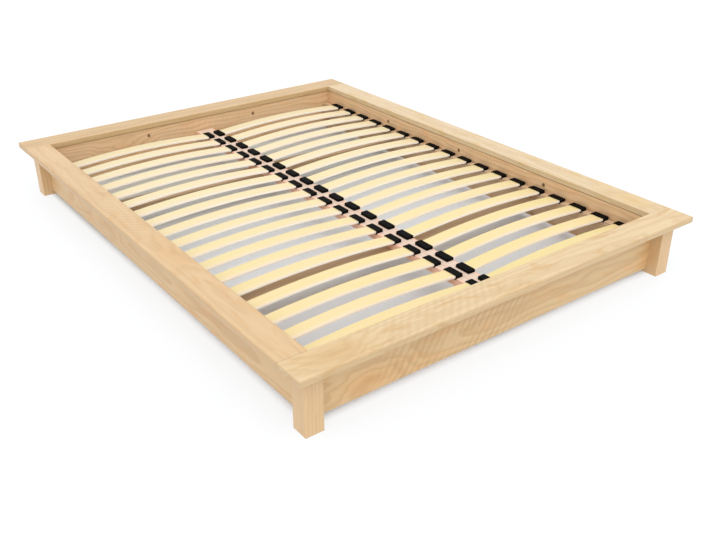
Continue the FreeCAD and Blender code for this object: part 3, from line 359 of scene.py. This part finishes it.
def make_wood_figure():
    """Solid wood whose grain runs along X, in metres: its colour, and its rings and fibres."""
    tree, given, results = new_group("wood_figure", (
        ("Place", "NodeSocketVector", None),
        ("Pale", "NodeSocketColor", None),
        ("Brown", "NodeSocketColor", None),
        ("Blush", "NodeSocketColor", None),
        ("Knot Heart", "NodeSocketColor", None),
        ("Pith", "NodeSocketVector", None),
        ("Rings Per Metre", "NodeSocketFloat", 90.0),
        ("Ring Depth", "NodeSocketFloat", 0.5),
        ("Wander", "NodeSocketFloat", 0.030),
        ("Knot", "NodeSocketVector", None),
        ("Knot Swell", "NodeSocketFloat", 0.0),
        ("Curl Pitch", "NodeSocketFloat", 0.021),
        ("Curl Slant", "NodeSocketFloat", 0.5),
        ("Curl Middle", "NodeSocketFloat", 0.0),
        ("Curl Reach", "NodeSocketFloat", 0.5),
        ("Curl Depth", "NodeSocketFloat", 0.0),
    ), (
        ("Colour", "NodeSocketColor"),
        ("Rings", "NodeSocketFloat"),
        ("Fibres", "NodeSocketFloat"),
    ))
    from_pith = vector_math(tree, "SUBTRACT", given["Place"], given["Pith"])[0]
    bulge, heart = add_knot(tree, given)
    rings = add_rings(tree, given, from_pith, calculate(
        tree, "MULTIPLY", bulge, given["Knot Swell"]))
    curl = add_curl(tree, given, from_pith)
    fibres = noise(tree, from_pith, FIBRE_SCALES, roughness=0.62)
    streaks = noise(tree, from_pith, STREAK_SCALES, roughness=0.60, distortion=0.6,
                    shift=(6, 2, 3))
    clouds = noise(tree, from_pith, CLOUD_SCALES, roughness=0.6, distortion=0.9, shift=(2, 8, 1))

    colour = tint(tree, given["Pale"], given["Blush"], fade(tree, clouds, start=0.48, end=0.68))
    colour = tint(tree, colour, given["Blush"], bulge)
    colour = tint(tree, colour, given["Knot Heart"], calculate(
        tree, "MULTIPLY", heart, KNOT_HEART_DEPTH))
    for share in (calculate(tree, "MULTIPLY", rings, given["Ring Depth"]),
                  calculate(tree, "MULTIPLY", curl, given["Curl Depth"]),
                  above(tree, fibres, level=0.42, gain=0.50),
                  above(tree, streaks, level=0.47, gain=0.65)):
        colour = tint(tree, colour, given["Brown"], share)
    tree.links.new(colour, results["Colour"])
    tree.links.new(rings, results["Rings"])
    tree.links.new(fibres, results["Fibres"])
    return tree


def make_tone_beyond():
    """Another tone over a colour, on what reaches past the given half sizes of the bed."""
    tree, given, results = new_group("tone_beyond", (
        ("Colour", "NodeSocketColor", None),
        ("Place", "NodeSocketVector", None),
        ("Tone", "NodeSocketColor", None),
        ("Half Sizes", "NodeSocketVector", None),
        ("Softness", "NodeSocketFloat", 0.006),
        ("Depth", "NodeSocketFloat", 0.5),
    ), (("Colour", "NodeSocketColor"),))
    size = vector_math(tree, "ABSOLUTE", given["Place"])[0]
    past = separate(tree, vector_math(tree, "SUBTRACT", size, given["Half Sizes"])[0])
    furthest = calculate(tree, "MAXIMUM", past[0], calculate(tree, "MAXIMUM", past[1], past[2]))
    share = fade(tree, calculate(tree, "DIVIDE", furthest, given["Softness"]),
                 start=-1.0, end=0.0)
    tree.links.new(tint(tree, given["Colour"], given["Tone"], calculate(
        tree, "MULTIPLY", share, given["Depth"])), results["Colour"])
    return tree


wood_figure = make_wood_figure()
tone_beyond = make_tone_beyond()


def turned(place, turn):
    """Where a place lies once its board is turned so that the grain runs along X."""
    return Matrix.Rotation(turn[2], 3, "Z") @ Matrix.Rotation(turn[1], 3, "Y") @ Vector(place)


def board_wood(name, turn, pith, colours, knot=(FAR_OFF, FAR_OFF, FAR_OFF), gloss=0.40,
               tones=(), **figure_values):
    """Solid wood with its grain turned along the board, its pith and its knot at places of the
    bed, and the figure's other values given as those of the group."""
    finish, tree, shader = new_finish(name)
    place = bed_place(tree)
    along_board = tree.nodes.new("ShaderNodeMapping")
    along_board.inputs["Rotation"].default_value = turn
    tree.links.new(place, along_board.inputs["Vector"])
    pale, brown, blush = colours
    heart = tuple(part * share for part, share in zip(blush, KNOT_HEART_SHARES))
    figure = put_group(tree, wood_figure, place=along_board.outputs[0], pale=pale, brown=brown,
                       blush=blush, knot_heart=heart, pith=turned(pith, turn),
                       knot=turned(knot, turn), **figure_values)
    colour = figure["Colour"]
    for tone in tones:
        colour = put_group(tree, tone_beyond, colour=colour, place=place, **tone)["Colour"]
    tree.links.new(colour, shader.inputs["Base Color"])
    add_roughness(tree, shader, figure["Fibres"], least=gloss - FIBRE_ROUGHNESS / 2,
                  spread=FIBRE_ROUGHNESS)
    grain = calculate(tree, "MULTIPLY_ADD", figure["Rings"], RING_RELIEF, figure["Fibres"])
    relief = add_relief(tree, shader, grain, strength=0.25, depth=0.0004)
    arris = tree.nodes.new("ShaderNodeBevel")
    arris.samples = 4
    arris.inputs["Radius"].default_value = ARRIS_RADIUS
    tree.links.new(arris.outputs["Normal"], relief.inputs["Normal"])
    return finish


def finish_node(name, material):
    """Give a CAD piece its finish."""
    mesh = nodes[name].data
    mesh.materials.clear()
    mesh.materials.append(material)


LEG_WOOD = ((0.669, 0.458, 0.248), (0.45, 0.275, 0.125), (0.650, 0.425, 0.215))
FINE_GROWTH = dict(rings_per_metre=150.0, wander=0.012)

for end, end_sign in (("foot", -1), ("head", 1)):
    for side, side_sign in (("left", -1), ("right", 1)):
        leg_pith = (0.80 * side_sign, 1.12 * end_sign, 0.3 * end_sign)
        finish_node(f"{end}_{side}_leg", board_wood(
            f"{end}_{side}_leg_wood", GRAIN_ALONG_Z, leg_pith, LEG_WOOD, ring_depth=0.24,
            **FINE_GROWTH))


# ---------------------------------------------------------------------------------------------
# Rails. Four boards on edge between the legs, of the same wood, doweled and cammed to them. The
# foot rail has the liveliest face: a swirl near its left end, then a stretch of fiddleback curl.

OUTER_RAIL_WOOD = ((0.668, 0.472, 0.248), (0.455, 0.262, 0.108), (0.680, 0.418, 0.190))
# The head and right rails are seen from inside the bed and take a lighter copy of the wood:
# painted light that makes up for the shade of the rim above them.
INNER_RAIL_WOOD_WITH_PAINTED_LIGHT = ((0.768, 0.525, 0.305), (0.50, 0.300, 0.145), (0.765, 0.475, 0.255))
RAIL_RINGS_PER_METRE = 62.0
RAIL_TOP = 0.197
UP_TO_THE_RIM = (FAR_OFF, FAR_OFF, RAIL_TOP)
# Painted shade under the rim: a broad darkening up the outer rails' faces, and a thin dark painted
# shadow line right under the rim on all four rails.
SHADE_UNDER_RIM = dict(tone=OUTER_RAIL_WOOD[1], half_sizes=UP_TO_THE_RIM, softness=0.045,
                       depth=0.30)
PAINTED_SHADOW_UNDER_RIM = dict(tone=(0.16, 0.10, 0.045), half_sizes=UP_TO_THE_RIM, softness=0.006,
                      depth=0.75)

finish_node("foot_rail", board_wood(
    "foot_rail_wood", GRAIN_ALONG_X, (0.0, -1.05, 0.085), OUTER_RAIL_WOOD, wander=0.09,
    ring_depth=0.36, knot=(-0.522, -0.984, 0.063), knot_swell=0.045, curl_pitch=0.029,
    curl_slant=0.65, curl_middle=-0.20, curl_reach=0.38, curl_depth=0.40,
    tones=(SHADE_UNDER_RIM, PAINTED_SHADOW_UNDER_RIM), rings_per_metre=RAIL_RINGS_PER_METRE))
finish_node("head_rail", board_wood(
    "head_rail_wood", GRAIN_ALONG_X, (0.0, 0.93, 0.07), INNER_RAIL_WOOD_WITH_PAINTED_LIGHT, wander=0.08,
    ring_depth=0.40, knot=(-0.38, 0.966, 0.120), knot_swell=0.04, curl_pitch=0.030,
    curl_slant=0.5, curl_middle=0.25, curl_reach=0.5, curl_depth=0.12,
    tones=(PAINTED_SHADOW_UNDER_RIM,), rings_per_metre=RAIL_RINGS_PER_METRE))
finish_node("left_rail", board_wood(
    "left_rail_wood", GRAIN_ALONG_Y, (-0.78, 0.0, 0.09), OUTER_RAIL_WOOD, wander=0.09,
    ring_depth=0.36, knot=(-0.724, 0.36, 0.10), knot_swell=0.03, curl_pitch=0.02,
    curl_slant=0.4, curl_middle=0.45, curl_reach=0.5, curl_depth=0.16,
    tones=(SHADE_UNDER_RIM, PAINTED_SHADOW_UNDER_RIM), rings_per_metre=RAIL_RINGS_PER_METRE))
finish_node("right_rail", board_wood(
    "right_rail_wood", GRAIN_ALONG_Y, (0.64, 0.0, 0.07), INNER_RAIL_WOOD_WITH_PAINTED_LIGHT, wander=0.08,
    ring_depth=0.40, curl_pitch=0.02, curl_slant=0.4, curl_middle=0.1, curl_reach=0.5,
    curl_depth=0.12, tones=(PAINTED_SHADOW_UNDER_RIM,), rings_per_metre=RAIL_RINGS_PER_METRE))


# ---------------------------------------------------------------------------------------------
# Rim. Four planed boards laid flat on the rails and legs, their outer arris rounded over. The
# side boards butt between the head and foot boards, and the seams show as fine lines.

FOOT_RIM_WOOD = ((0.678, 0.520, 0.308), (0.47, 0.305, 0.145), (0.605, 0.408, 0.198))
LEFT_RIM_WOOD = ((0.645, 0.453, 0.252), (0.45, 0.280, 0.130), (0.625, 0.400, 0.198))
HEAD_RIM_WOOD = ((0.588, 0.412, 0.215), (0.41, 0.255, 0.115), (0.580, 0.372, 0.182))
RIGHT_RIM_WOOD = ((0.675, 0.523, 0.332), (0.48, 0.330, 0.170), (0.640, 0.462, 0.222))
# The rim's upright outer edge faces are darkened: painted shade.
PAINTED_SHADE_ON_OUTER_EDGE = dict(tone=(0.45, 0.280, 0.125), half_sizes=(0.7985, 1.0645, FAR_OFF),
                  softness=0.0020, depth=0.34)
RIM_GROWTH_AND_EDGE_SHADE = dict(rings_per_metre=70.0, wander=0.05, tones=(PAINTED_SHADE_ON_OUTER_EDGE,))

finish_node("foot_rim_board", board_wood(
    "foot_rim_wood", GRAIN_ALONG_X, (0.0, -1.04, 0.165), FOOT_RIM_WOOD, ring_depth=0.28,
    knot=(-0.665, -1.015, 0.218), knot_swell=0.04, curl_pitch=0.030, curl_slant=0.87,
    curl_middle=-0.32, curl_reach=0.36, curl_depth=0.22, **RIM_GROWTH_AND_EDGE_SHADE))
finish_node("head_rim_board", board_wood(
    "head_rim_wood", GRAIN_ALONG_X, (0.0, 1.00, 0.150), HEAD_RIM_WOOD, ring_depth=0.30,
    curl_pitch=0.022, curl_slant=0.5, curl_middle=-0.3, curl_reach=0.4, curl_depth=0.10,
    **RIM_GROWTH_AND_EDGE_SHADE))
finish_node("left_rim_board", board_wood(
    "left_rim_wood", GRAIN_ALONG_Y, (-0.74, 0.0, 0.160), LEFT_RIM_WOOD, ring_depth=0.26,
    knot=(-0.735, -0.25, 0.218), knot_swell=0.02, curl_pitch=0.026, curl_slant=0.6,
    curl_middle=0.30, curl_reach=0.52, curl_depth=0.24, **RIM_GROWTH_AND_EDGE_SHADE))
finish_node("right_rim_board", board_wood(
    "right_rim_wood", GRAIN_ALONG_Y, (0.76, 0.0, 0.150), RIGHT_RIM_WOOD, ring_depth=0.26,
    knot=(0.752, -0.84, 0.218), knot_swell=0.02, curl_pitch=0.026, curl_slant=0.5,
    curl_middle=-0.2, curl_reach=0.4, curl_depth=0.08, **RIM_GROWTH_AND_EDGE_SHADE))


# ---------------------------------------------------------------------------------------------
# Cleats. Two long strips of plain planed pine, doweled to the side rails. The slatted base lies
# loose on them.

BROWN_BASE_WOOD = ((0.560, 0.390, 0.245), (0.40, 0.250, 0.130), (0.570, 0.360, 0.200))
PLAIN_PLANED = dict(rings_per_metre=130.0, wander=0.02, gloss=0.62)

for side, sign in (("left", -1), ("right", 1)):
    finish_node(f"{side}_cleat", board_wood(
        f"{side}_cleat_wood", GRAIN_ALONG_Y, (0.63 * sign, 0.0, 0.02), BROWN_BASE_WOOD,
        ring_depth=0.35, **PLAIN_PLANED))


# ---------------------------------------------------------------------------------------------
# Joint fittings. Zinc cam locks with a driver's slot, cast and left dull, sunk in the rails' inner
# faces, their zinc coloured dark brown as a painted shade of the holes they sit in; zinc plated
# steel bolts that they pull on; and beech dowels with chamfered ends in the glued joints.

METAL_SCRATCH_SCALES = (0.4, 6, 6)
# The locks' zinc is coloured dark brown: painted shade of the holes they sit in.
ZINC_WITH_PAINTED_SHADE = ((0.34, 0.19, 0.10), (0.50, 0.31, 0.18))
PLATED_STEEL = ((0.50, 0.47, 0.40), (0.70, 0.68, 0.62))
BEECH = ((0.66, 0.46, 0.28), (0.45, 0.28, 0.15), (0.64, 0.42, 0.25))


def make_metal_wear():
    """Stains and fine scratches of a small metal part, from 0 to 1."""
    tree, given, results = new_group("metal_wear", (
        ("Place", "NodeSocketVector", None),
        ("Grain", "NodeSocketFloat", 260.0),
    ), (
        ("Stains", "NodeSocketFloat"),
        ("Scratches", "NodeSocketFloat"),
    ))
    scaled = tree.nodes.new("ShaderNodeVectorMath")
    scaled.operation = "SCALE"
    tree.links.new(given["Place"], scaled.inputs[0])
    tree.links.new(given["Grain"], scaled.inputs["Scale"])
    tree.links.new(noise(tree, scaled.outputs[0], (1, 1, 1)), results["Stains"])
    tree.links.new(noise(tree, scaled.outputs[0], METAL_SCRATCH_SCALES, detail=2.0),
                   results["Scratches"])
    return tree


metal_wear = make_metal_wear()


def make_metal(name, colours, roughness):
    """A metal with slight staining and fine scratches."""
    finish, tree, shader = new_finish(name)
    shader.inputs["Metallic"].default_value = 1.0
    wear = put_group(tree, metal_wear, place=bed_place(tree))
    tree.links.new(tint(tree, *colours, wear["Stains"]), shader.inputs["Base Color"])
    add_roughness(tree, shader, wear["Scratches"], least=roughness, spread=0.2)
    add_relief(tree, shader, wear["Scratches"], strength=0.2, depth=0.0002)
    return finish


finish_node("cam_locks", make_metal("zinc_with_painted_shade", ZINC_WITH_PAINTED_SHADE, roughness=0.50))
plated_steel = make_metal("zinc_plated_steel", PLATED_STEEL, roughness=0.28)
finish_node("cam_bolts", plated_steel)
finish_node("wood_dowels", board_wood(
    "turned_beech", GRAIN_ALONG_Z, (0.4, 0.4, 0.0), BEECH, ring_depth=0.2, gloss=0.6,
    **FINE_GROWTH))


# ---------------------------------------------------------------------------------------------
# Slatted base. Two side rails and a flat centre rail of plain planed pine without lacquer,
# screwed to two flat cross rails. The centre rail is paler and pinker than the rim, and redder
# along its sides.

PINK_BASE_WOOD = ((0.715, 0.560, 0.450), (0.52, 0.330, 0.22), (0.735, 0.500, 0.385))
CENTRE_RAIL_HALF_WIDTH = 0.040
RED_SIDES = dict(tone=(0.900, 0.520, 0.370),
                 half_sizes=(CENTRE_RAIL_HALF_WIDTH, FAR_OFF, FAR_OFF), softness=0.012,
                 depth=0.8)

finish_node("centre_base_rail", board_wood(
    "centre_base_rail_wood", GRAIN_ALONG_Y, (0.02, 0.0, 0.05), PINK_BASE_WOOD, ring_depth=0.30,
    tones=(RED_SIDES,), **PLAIN_PLANED))
for side, sign in (("left", -1), ("right", 1)):
    finish_node(f"{side}_base_rail", board_wood(
        f"{side}_base_rail_wood", GRAIN_ALONG_Y, (0.60 * sign, 0.0, 0.06), BROWN_BASE_WOOD,
        ring_depth=0.30, **PLAIN_PLANED))
for end, pith in (("head", (0.0, 0.40, 0.06)), ("foot", (0.0, -0.47, 0.06))):
    finish_node(f"{end}_cross_rail", board_wood(
        f"{end}_cross_rail_wood", GRAIN_ALONG_X, pith, BROWN_BASE_WOOD, ring_depth=0.30,
        **PLAIN_PLANED))
finish_node("base_screws", plated_steel)


# ---------------------------------------------------------------------------------------------
# End caps. Moulded in black plastic, one on each end of every slat, pressed into seats in the
# base's rails. The mouth is taller than the slat, because the slat rises out of it, and a sunk
# panel saves plastic in the top.

CAP_BOX_LOW, CAP_BOX_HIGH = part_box("slat_end_caps")
CAP_HEIGHT = CAP_BOX_HIGH.z - CAP_BOX_LOW.z
CAP_LENGTH = 0.028
CAP_WALL = 0.002
CAP_SIDE_WALL = 0.004
CAP_CORNER = 0.003
CAP_CORNER_STEPS = 5
CAP_PANEL_DEPTH = 0.0005
CAP_PANEL_MARGIN = 0.0035
CAP_SOFT_EDGE = 0.0007
SLAT_WIDTH = 0.053
SLAT_ROWS = 18
SLAT_SIDE_CLEARANCE = 0.0003
SLAT_END_CLEARANCE = 0.001
CAP_WIDTH = SLAT_WIDTH + 2 * SLAT_SIDE_CLEARANCE + 2 * CAP_SIDE_WALL
OUTER_CAP_BACK = CAP_BOX_HIGH.x
INNER_CAP_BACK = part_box("right_slat_01")[0].x - CAP_WALL - SLAT_END_CLEARANCE
FIRST_ROW_Y = CAP_BOX_HIGH.y - CAP_WIDTH / 2
LAST_ROW_Y = CAP_BOX_LOW.y + CAP_WIDTH / 2
ROW_PITCH = (FIRST_ROW_Y - LAST_ROW_Y) / (SLAT_ROWS - 1)
CAP_GRAIN_SCALES = (1400, 1400, 1400)
CAP_RUB_SCALES = (60, 60, 60)
CAP_BLACK = (0.0012, 0.0011, 0.0010)
CAP_GRAIN_BLACK = (0.0028, 0.0026, 0.0024)
CAP_RUBBED_BLACK = (0.0050, 0.0046, 0.0042)


def cap_plan():
    """The plan of a cap: a square mouth at x = CAP_LENGTH and rounded corners at its back."""
    plan = [(CAP_LENGTH, -CAP_WIDTH / 2)]
    straight = CAP_WIDTH / 2 - CAP_CORNER
    for sign, steps in ((-1, range(CAP_CORNER_STEPS + 1)), (1, range(CAP_CORNER_STEPS, -1, -1))):
        for step in steps:
            angle = step / CAP_CORNER_STEPS * pi / 2
            plan.append((CAP_CORNER - CAP_CORNER * sin(angle),
                         sign * (straight + CAP_CORNER * cos(angle))))
    return plan + [(CAP_LENGTH, CAP_WIDTH / 2)]


def faces_between(near, far):
    """The faces that join two closed rings of corners."""
    following = list(range(1, len(near))) + [0]
    return [(near[this], near[after], far[after], far[this])
            for this, after in enumerate(following)]


def add_cap(mesh, back, mouth_sign, row_y):
    """One cap in the mesh: its shell, its mouth and the hollow behind the mouth."""
    def corner(x, y, z):
        return mesh.verts.new((back + mouth_sign * x, row_y + y, CAP_BOX_LOW.z + z))

    plan = cap_plan()
    low = [corner(x, y, 0) for x, y in plan]
    high = [corner(x, y, CAP_HEIGHT) for x, y in plan]
    faces = [low[::-1]]
    faces += faces_between(low, high)[:-1]

    inside = CAP_WIDTH / 2 - CAP_PANEL_MARGIN
    panel = [(CAP_LENGTH - CAP_PANEL_MARGIN, -inside), (CAP_PANEL_MARGIN, -inside),
             (CAP_PANEL_MARGIN, inside), (CAP_LENGTH - CAP_PANEL_MARGIN, inside)]
    rim = [corner(x, y, CAP_HEIGHT) for x, y in panel]
    sunk = [corner(x, y, CAP_HEIGHT - CAP_PANEL_DEPTH) for x, y in panel]
    half = len(plan) // 2
    faces += [high[:half] + [rim[1], rim[0]], high[half - 1:half + 1] + [rim[2], rim[1]],
              high[half:] + [rim[3], rim[2]], [high[-1], high[0], rim[0], rim[3]]]
    faces += faces_between(rim, sunk) + [sunk]

    slot = SLAT_WIDTH / 2 + SLAT_SIDE_CLEARANCE
    opening = [(-slot, CAP_WALL), (slot, CAP_WALL), (slot, CAP_HEIGHT - CAP_WALL),
               (-slot, CAP_HEIGHT - CAP_WALL)]
    mouth = [corner(CAP_LENGTH, y, z) for y, z in opening]
    deep = [corner(CAP_WALL, y, z) for y, z in opening]
    faces += faces_between([low[0], low[-1], high[-1], high[0]], mouth)
    faces += faces_between(mouth, deep) + [deep]
    for face in faces:
        mesh.faces.new(face)


def make_cap_plastic():
    """Matt black moulded plastic with a fine sparked grain, a little greyer where it is rubbed."""
    finish, tree, shader = new_finish("black_cap_plastic")
    shader.inputs["Specular IOR Level"].default_value = 0.05
    place = bed_place(tree)
    grain = noise(tree, place, CAP_GRAIN_SCALES, detail=2.0)
    rubbed = fade(tree, noise(tree, place, CAP_RUB_SCALES), start=0.5, end=0.8)
    colour = tint(tree, CAP_BLACK, CAP_GRAIN_BLACK, grain)
    tree.links.new(tint(tree, colour, CAP_RUBBED_BLACK, rubbed), shader.inputs["Base Color"])
    add_roughness(tree, shader, grain, least=0.55, spread=0.15)
    add_relief(tree, shader, grain, strength=0.3, depth=0.0002)
    return finish


cap_shape = bmesh.new()
for row in range(SLAT_ROWS):
    for sign in (-1, 1):
        row_y = FIRST_ROW_Y - row * ROW_PITCH
        add_cap(cap_shape, sign * OUTER_CAP_BACK, -sign, row_y)
        add_cap(cap_shape, sign * INNER_CAP_BACK, sign, row_y)
bmesh.ops.recalc_face_normals(cap_shape, faces=cap_shape.faces)
cap_mesh = bpy.data.meshes.new("moulded_end_caps")
cap_shape.to_mesh(cap_mesh)
cap_shape.free()
cap_mesh.polygons.foreach_set("use_smooth", [True] * len(cap_mesh.polygons))
cap_mesh.materials.append(make_cap_plastic())
end_caps = bpy.data.objects.new("moulded_end_caps", cap_mesh)
bpy.context.scene.collection.objects.link(end_caps)
soft_edges = end_caps.modifiers.new("soft_edges", "BEVEL")
soft_edges.width = CAP_SOFT_EDGE
soft_edges.segments = 2
soft_edges.limit_method = "ANGLE"
soft_edges.angle_limit = radians(40)
end_caps.modifiers.new("even_shine", "WEIGHTED_NORMAL").keep_sharp = True
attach(end_caps, "slat_base")
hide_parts("slat_end_caps")


# ---------------------------------------------------------------------------------------------
# Slats. Strips of laminated birch, six plies pressed to a bow and sanded, with rounded long
# edges. The faces are yellow at the foot end and paler at the head end, with a creamy strip along
# the foot-side edge that is a painted sheen, and the edges show the plies with their fine glue
# lines, painted nearly white with painted light.

SLAT_THICKNESS = 0.008
SLAT_EDGE_ROUNDING = 0.0012
SLAT_PLIES = 6
SLAT_STATIONS = 56
SLAT_EDGE_STEPS = 4
VENEER_STEP_BY_ROW = Vector((1.7, 0.37, 0.0))
VENEER_STEP_BY_COLUMN = Vector((0.9, 0.0, 0.21))
YELLOW_AT_FOOT = (0.735, 0.602, 0.270)
YELLOW_AT_HEAD = (0.722, 0.636, 0.400)
# The creamy strip on the foot side of each slat is a painted sheen, changing from foot to head.
PAINTED_SHEEN_AT_FOOT = (0.770, 0.632, 0.450)
PAINTED_SHEEN_AT_HEAD = (0.752, 0.638, 0.490)
FOOT_TO_HEAD = (-0.95, 0.75)
PAINTED_SHEEN_STRIP = (-0.028, -0.011)
PAINTED_SHEEN_DRIFT = 0.04
PAINTED_SHEEN_DRIFT_SCALES = (2.2, 20, 20)
VENEER_BAND = (0.800, 0.620, 0.380)
VENEER_BAND_DEPTH = 0.55
VENEER_BAND_SCALES = (1.6, 60, 6)
VENEER_FIBRE = (0.64, 0.45, 0.23)
VENEER_FIBRE_SCALES = (9, 420, 420)
# The edges are painted nearly white: the plies' own paleness with painted light over it.
PLY_EDGE_AND_PAINTED_LIGHT = (0.980, 0.915, 0.800)
PLY_EDGE_FADE = (0.0001, 0.0006)
GLUE_LINE = (0.50, 0.32, 0.17)
GLUE_LINE_DEPTH = 0.25
GLUE_LINE_FADE = (0.05, 0.14)


def slat_section():
    """The rounded section of a slat, as places across it and heights over its underside."""
    side = SLAT_WIDTH / 2 - SLAT_EDGE_ROUNDING
    top = SLAT_THICKNESS - SLAT_EDGE_ROUNDING
    places = []
    for quarter, (across, height) in enumerate((
            (side, top), (-side, top), (-side, SLAT_EDGE_ROUNDING), (side, SLAT_EDGE_ROUNDING))):
        for step in range(SLAT_EDGE_STEPS + 1):
            angle = (quarter + step / SLAT_EDGE_STEPS) * pi / 2
            places.append((across + SLAT_EDGE_ROUNDING * cos(angle),
                           height + SLAT_EDGE_ROUNDING * sin(angle)))
    return places


def bend_slat(name, node, cut):
    """A bowed strip in the space of a CAD slat. It keeps each point's place along, across and up,
    and the place in the veneer that it was cut from."""
    low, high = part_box(node)
    length, middle_x, middle_y = high.x - low.x, (low.x + high.x) / 2, (low.y + high.y) / 2
    bow = high.z - low.z - SLAT_THICKNESS
    under_radius = (length ** 2 / 4 + bow ** 2) / (2 * bow)
    centre_z = low.z + bow - under_radius
    shape = bmesh.new()
    strip_place = shape.verts.layers.float_vector.new("strip_place")
    veneer_place = shape.verts.layers.float_vector.new("veneer_place")
    rings = []
    for station in range(SLAT_STATIONS + 1):
        along = length * (station / SLAT_STATIONS - 0.5)
        under = centre_z + sqrt(under_radius ** 2 - along ** 2)
        over = centre_z + sqrt((under_radius + SLAT_THICKNESS) ** 2 - along ** 2)
        ring = []
        for across, height in slat_section():
            z = under + (over - under) * height / SLAT_THICKNESS
            vertex = shape.verts.new((middle_x + along, middle_y + across, z))
            vertex[strip_place] = (along, across, height)
            vertex[veneer_place] = Vector((along, across, height)) + cut
            ring.append(vertex)
        rings.append(ring)
    for near, far in zip(rings, rings[1:]):
        for corners in faces_between(near, far):
            shape.faces.new(corners).smooth = True
    for ring in (rings[0], rings[-1]):
        for edge in shape.faces.new(ring).edges:
            edge.smooth = False
    bmesh.ops.recalc_face_normals(shape, faces=shape.faces)
    mesh = bpy.data.meshes.new(name)
    shape.to_mesh(mesh)
    shape.free()
    slat = bpy.data.objects.new(name, mesh)
    bpy.context.scene.collection.objects.link(slat)
    slat.modifiers.new("flat_faces", "WEIGHTED_NORMAL").keep_sharp = True
    return slat


def kept_place(tree, name):
    """A place that the slat's mesh keeps at each of its points."""
    node = tree.nodes.new("ShaderNodeAttribute")
    node.attribute_name = name
    return node.outputs["Vector"]


def make_slat_wood():
    """Birch veneer: yellow with a painted cream sheen along the foot side, fine fibres, and ply
    lines at the edge under painted light.
    """
    finish, tree, shader = new_finish("laminated_birch")
    _, across, height = separate(tree, kept_place(tree, "strip_place"))
    veneer = kept_place(tree, "veneer_place")

    head_end = fade(tree, separate(tree, bed_place(tree))["Y"], *FOOT_TO_HEAD)
    drift = waver(tree, veneer, PAINTED_SHEEN_DRIFT_SCALES, detail=2.0)
    # Painted sheen: the cream strip along the foot-side edge, with a wavering border.
    past_painted_sheen = fade(tree, calculate(tree, "MULTIPLY_ADD", drift, PAINTED_SHEEN_DRIFT, across),
                        *PAINTED_SHEEN_STRIP)
    colour = tint(tree, tint(tree, PAINTED_SHEEN_AT_FOOT, PAINTED_SHEEN_AT_HEAD, head_end),
                  tint(tree, YELLOW_AT_FOOT, YELLOW_AT_HEAD, head_end), past_painted_sheen)
    bands = fade(tree, noise(tree, veneer, VENEER_BAND_SCALES, detail=2.0, shift=(3, 1, 0)),
                 start=0.42, end=0.66)
    colour = tint(tree, colour, VENEER_BAND, calculate(
        tree, "MULTIPLY", bands, VENEER_BAND_DEPTH))
    fibres = noise(tree, veneer, VENEER_FIBRE_SCALES, roughness=0.65)
    colour = tint(tree, colour, VENEER_FIBRE, above(tree, fibres, level=0.48, gain=0.6))

    below_top = calculate(tree, "SUBTRACT", SLAT_THICKNESS, height)
    on_edge = fade(tree, calculate(tree, "MINIMUM", height, below_top), *PLY_EDGE_FADE)
    # Painted light on the edges, over the plies' paler colour.
    colour = tint(tree, colour, PLY_EDGE_AND_PAINTED_LIGHT, on_edge)
    ply = calculate(tree, "FRACT", calculate(
        tree, "MULTIPLY_ADD", height, SLAT_PLIES / SLAT_THICKNESS, 0.5))
    off_glue = calculate(tree, "ABSOLUTE", calculate(tree, "SUBTRACT", ply, 0.5))
    glue = calculate(tree, "MULTIPLY", fade_out(tree, off_glue, *GLUE_LINE_FADE), on_edge)
    colour = tint(tree, colour, GLUE_LINE, calculate(tree, "MULTIPLY", glue, GLUE_LINE_DEPTH))
    tree.links.new(colour, shader.inputs["Base Color"])
    add_roughness(tree, shader, fibres, least=0.36, spread=0.2)
    add_relief(tree, shader, calculate(tree, "SUBTRACT", fibres, glue), strength=0.2,
               depth=0.0003)
    return finish


laminated_birch = make_slat_wood()
for row in range(SLAT_ROWS):
    for column, side in enumerate(("left", "right")):
        node = f"{side}_slat_{row + 1:02d}"
        cut = row * VENEER_STEP_BY_ROW + column * VENEER_STEP_BY_COLUMN
        slat = bend_slat(f"{side}_birch_slat_{row + 1:02d}", node, cut)
        slat.data.materials.append(laminated_birch)
        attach(slat, "slat_base")
        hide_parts(node)
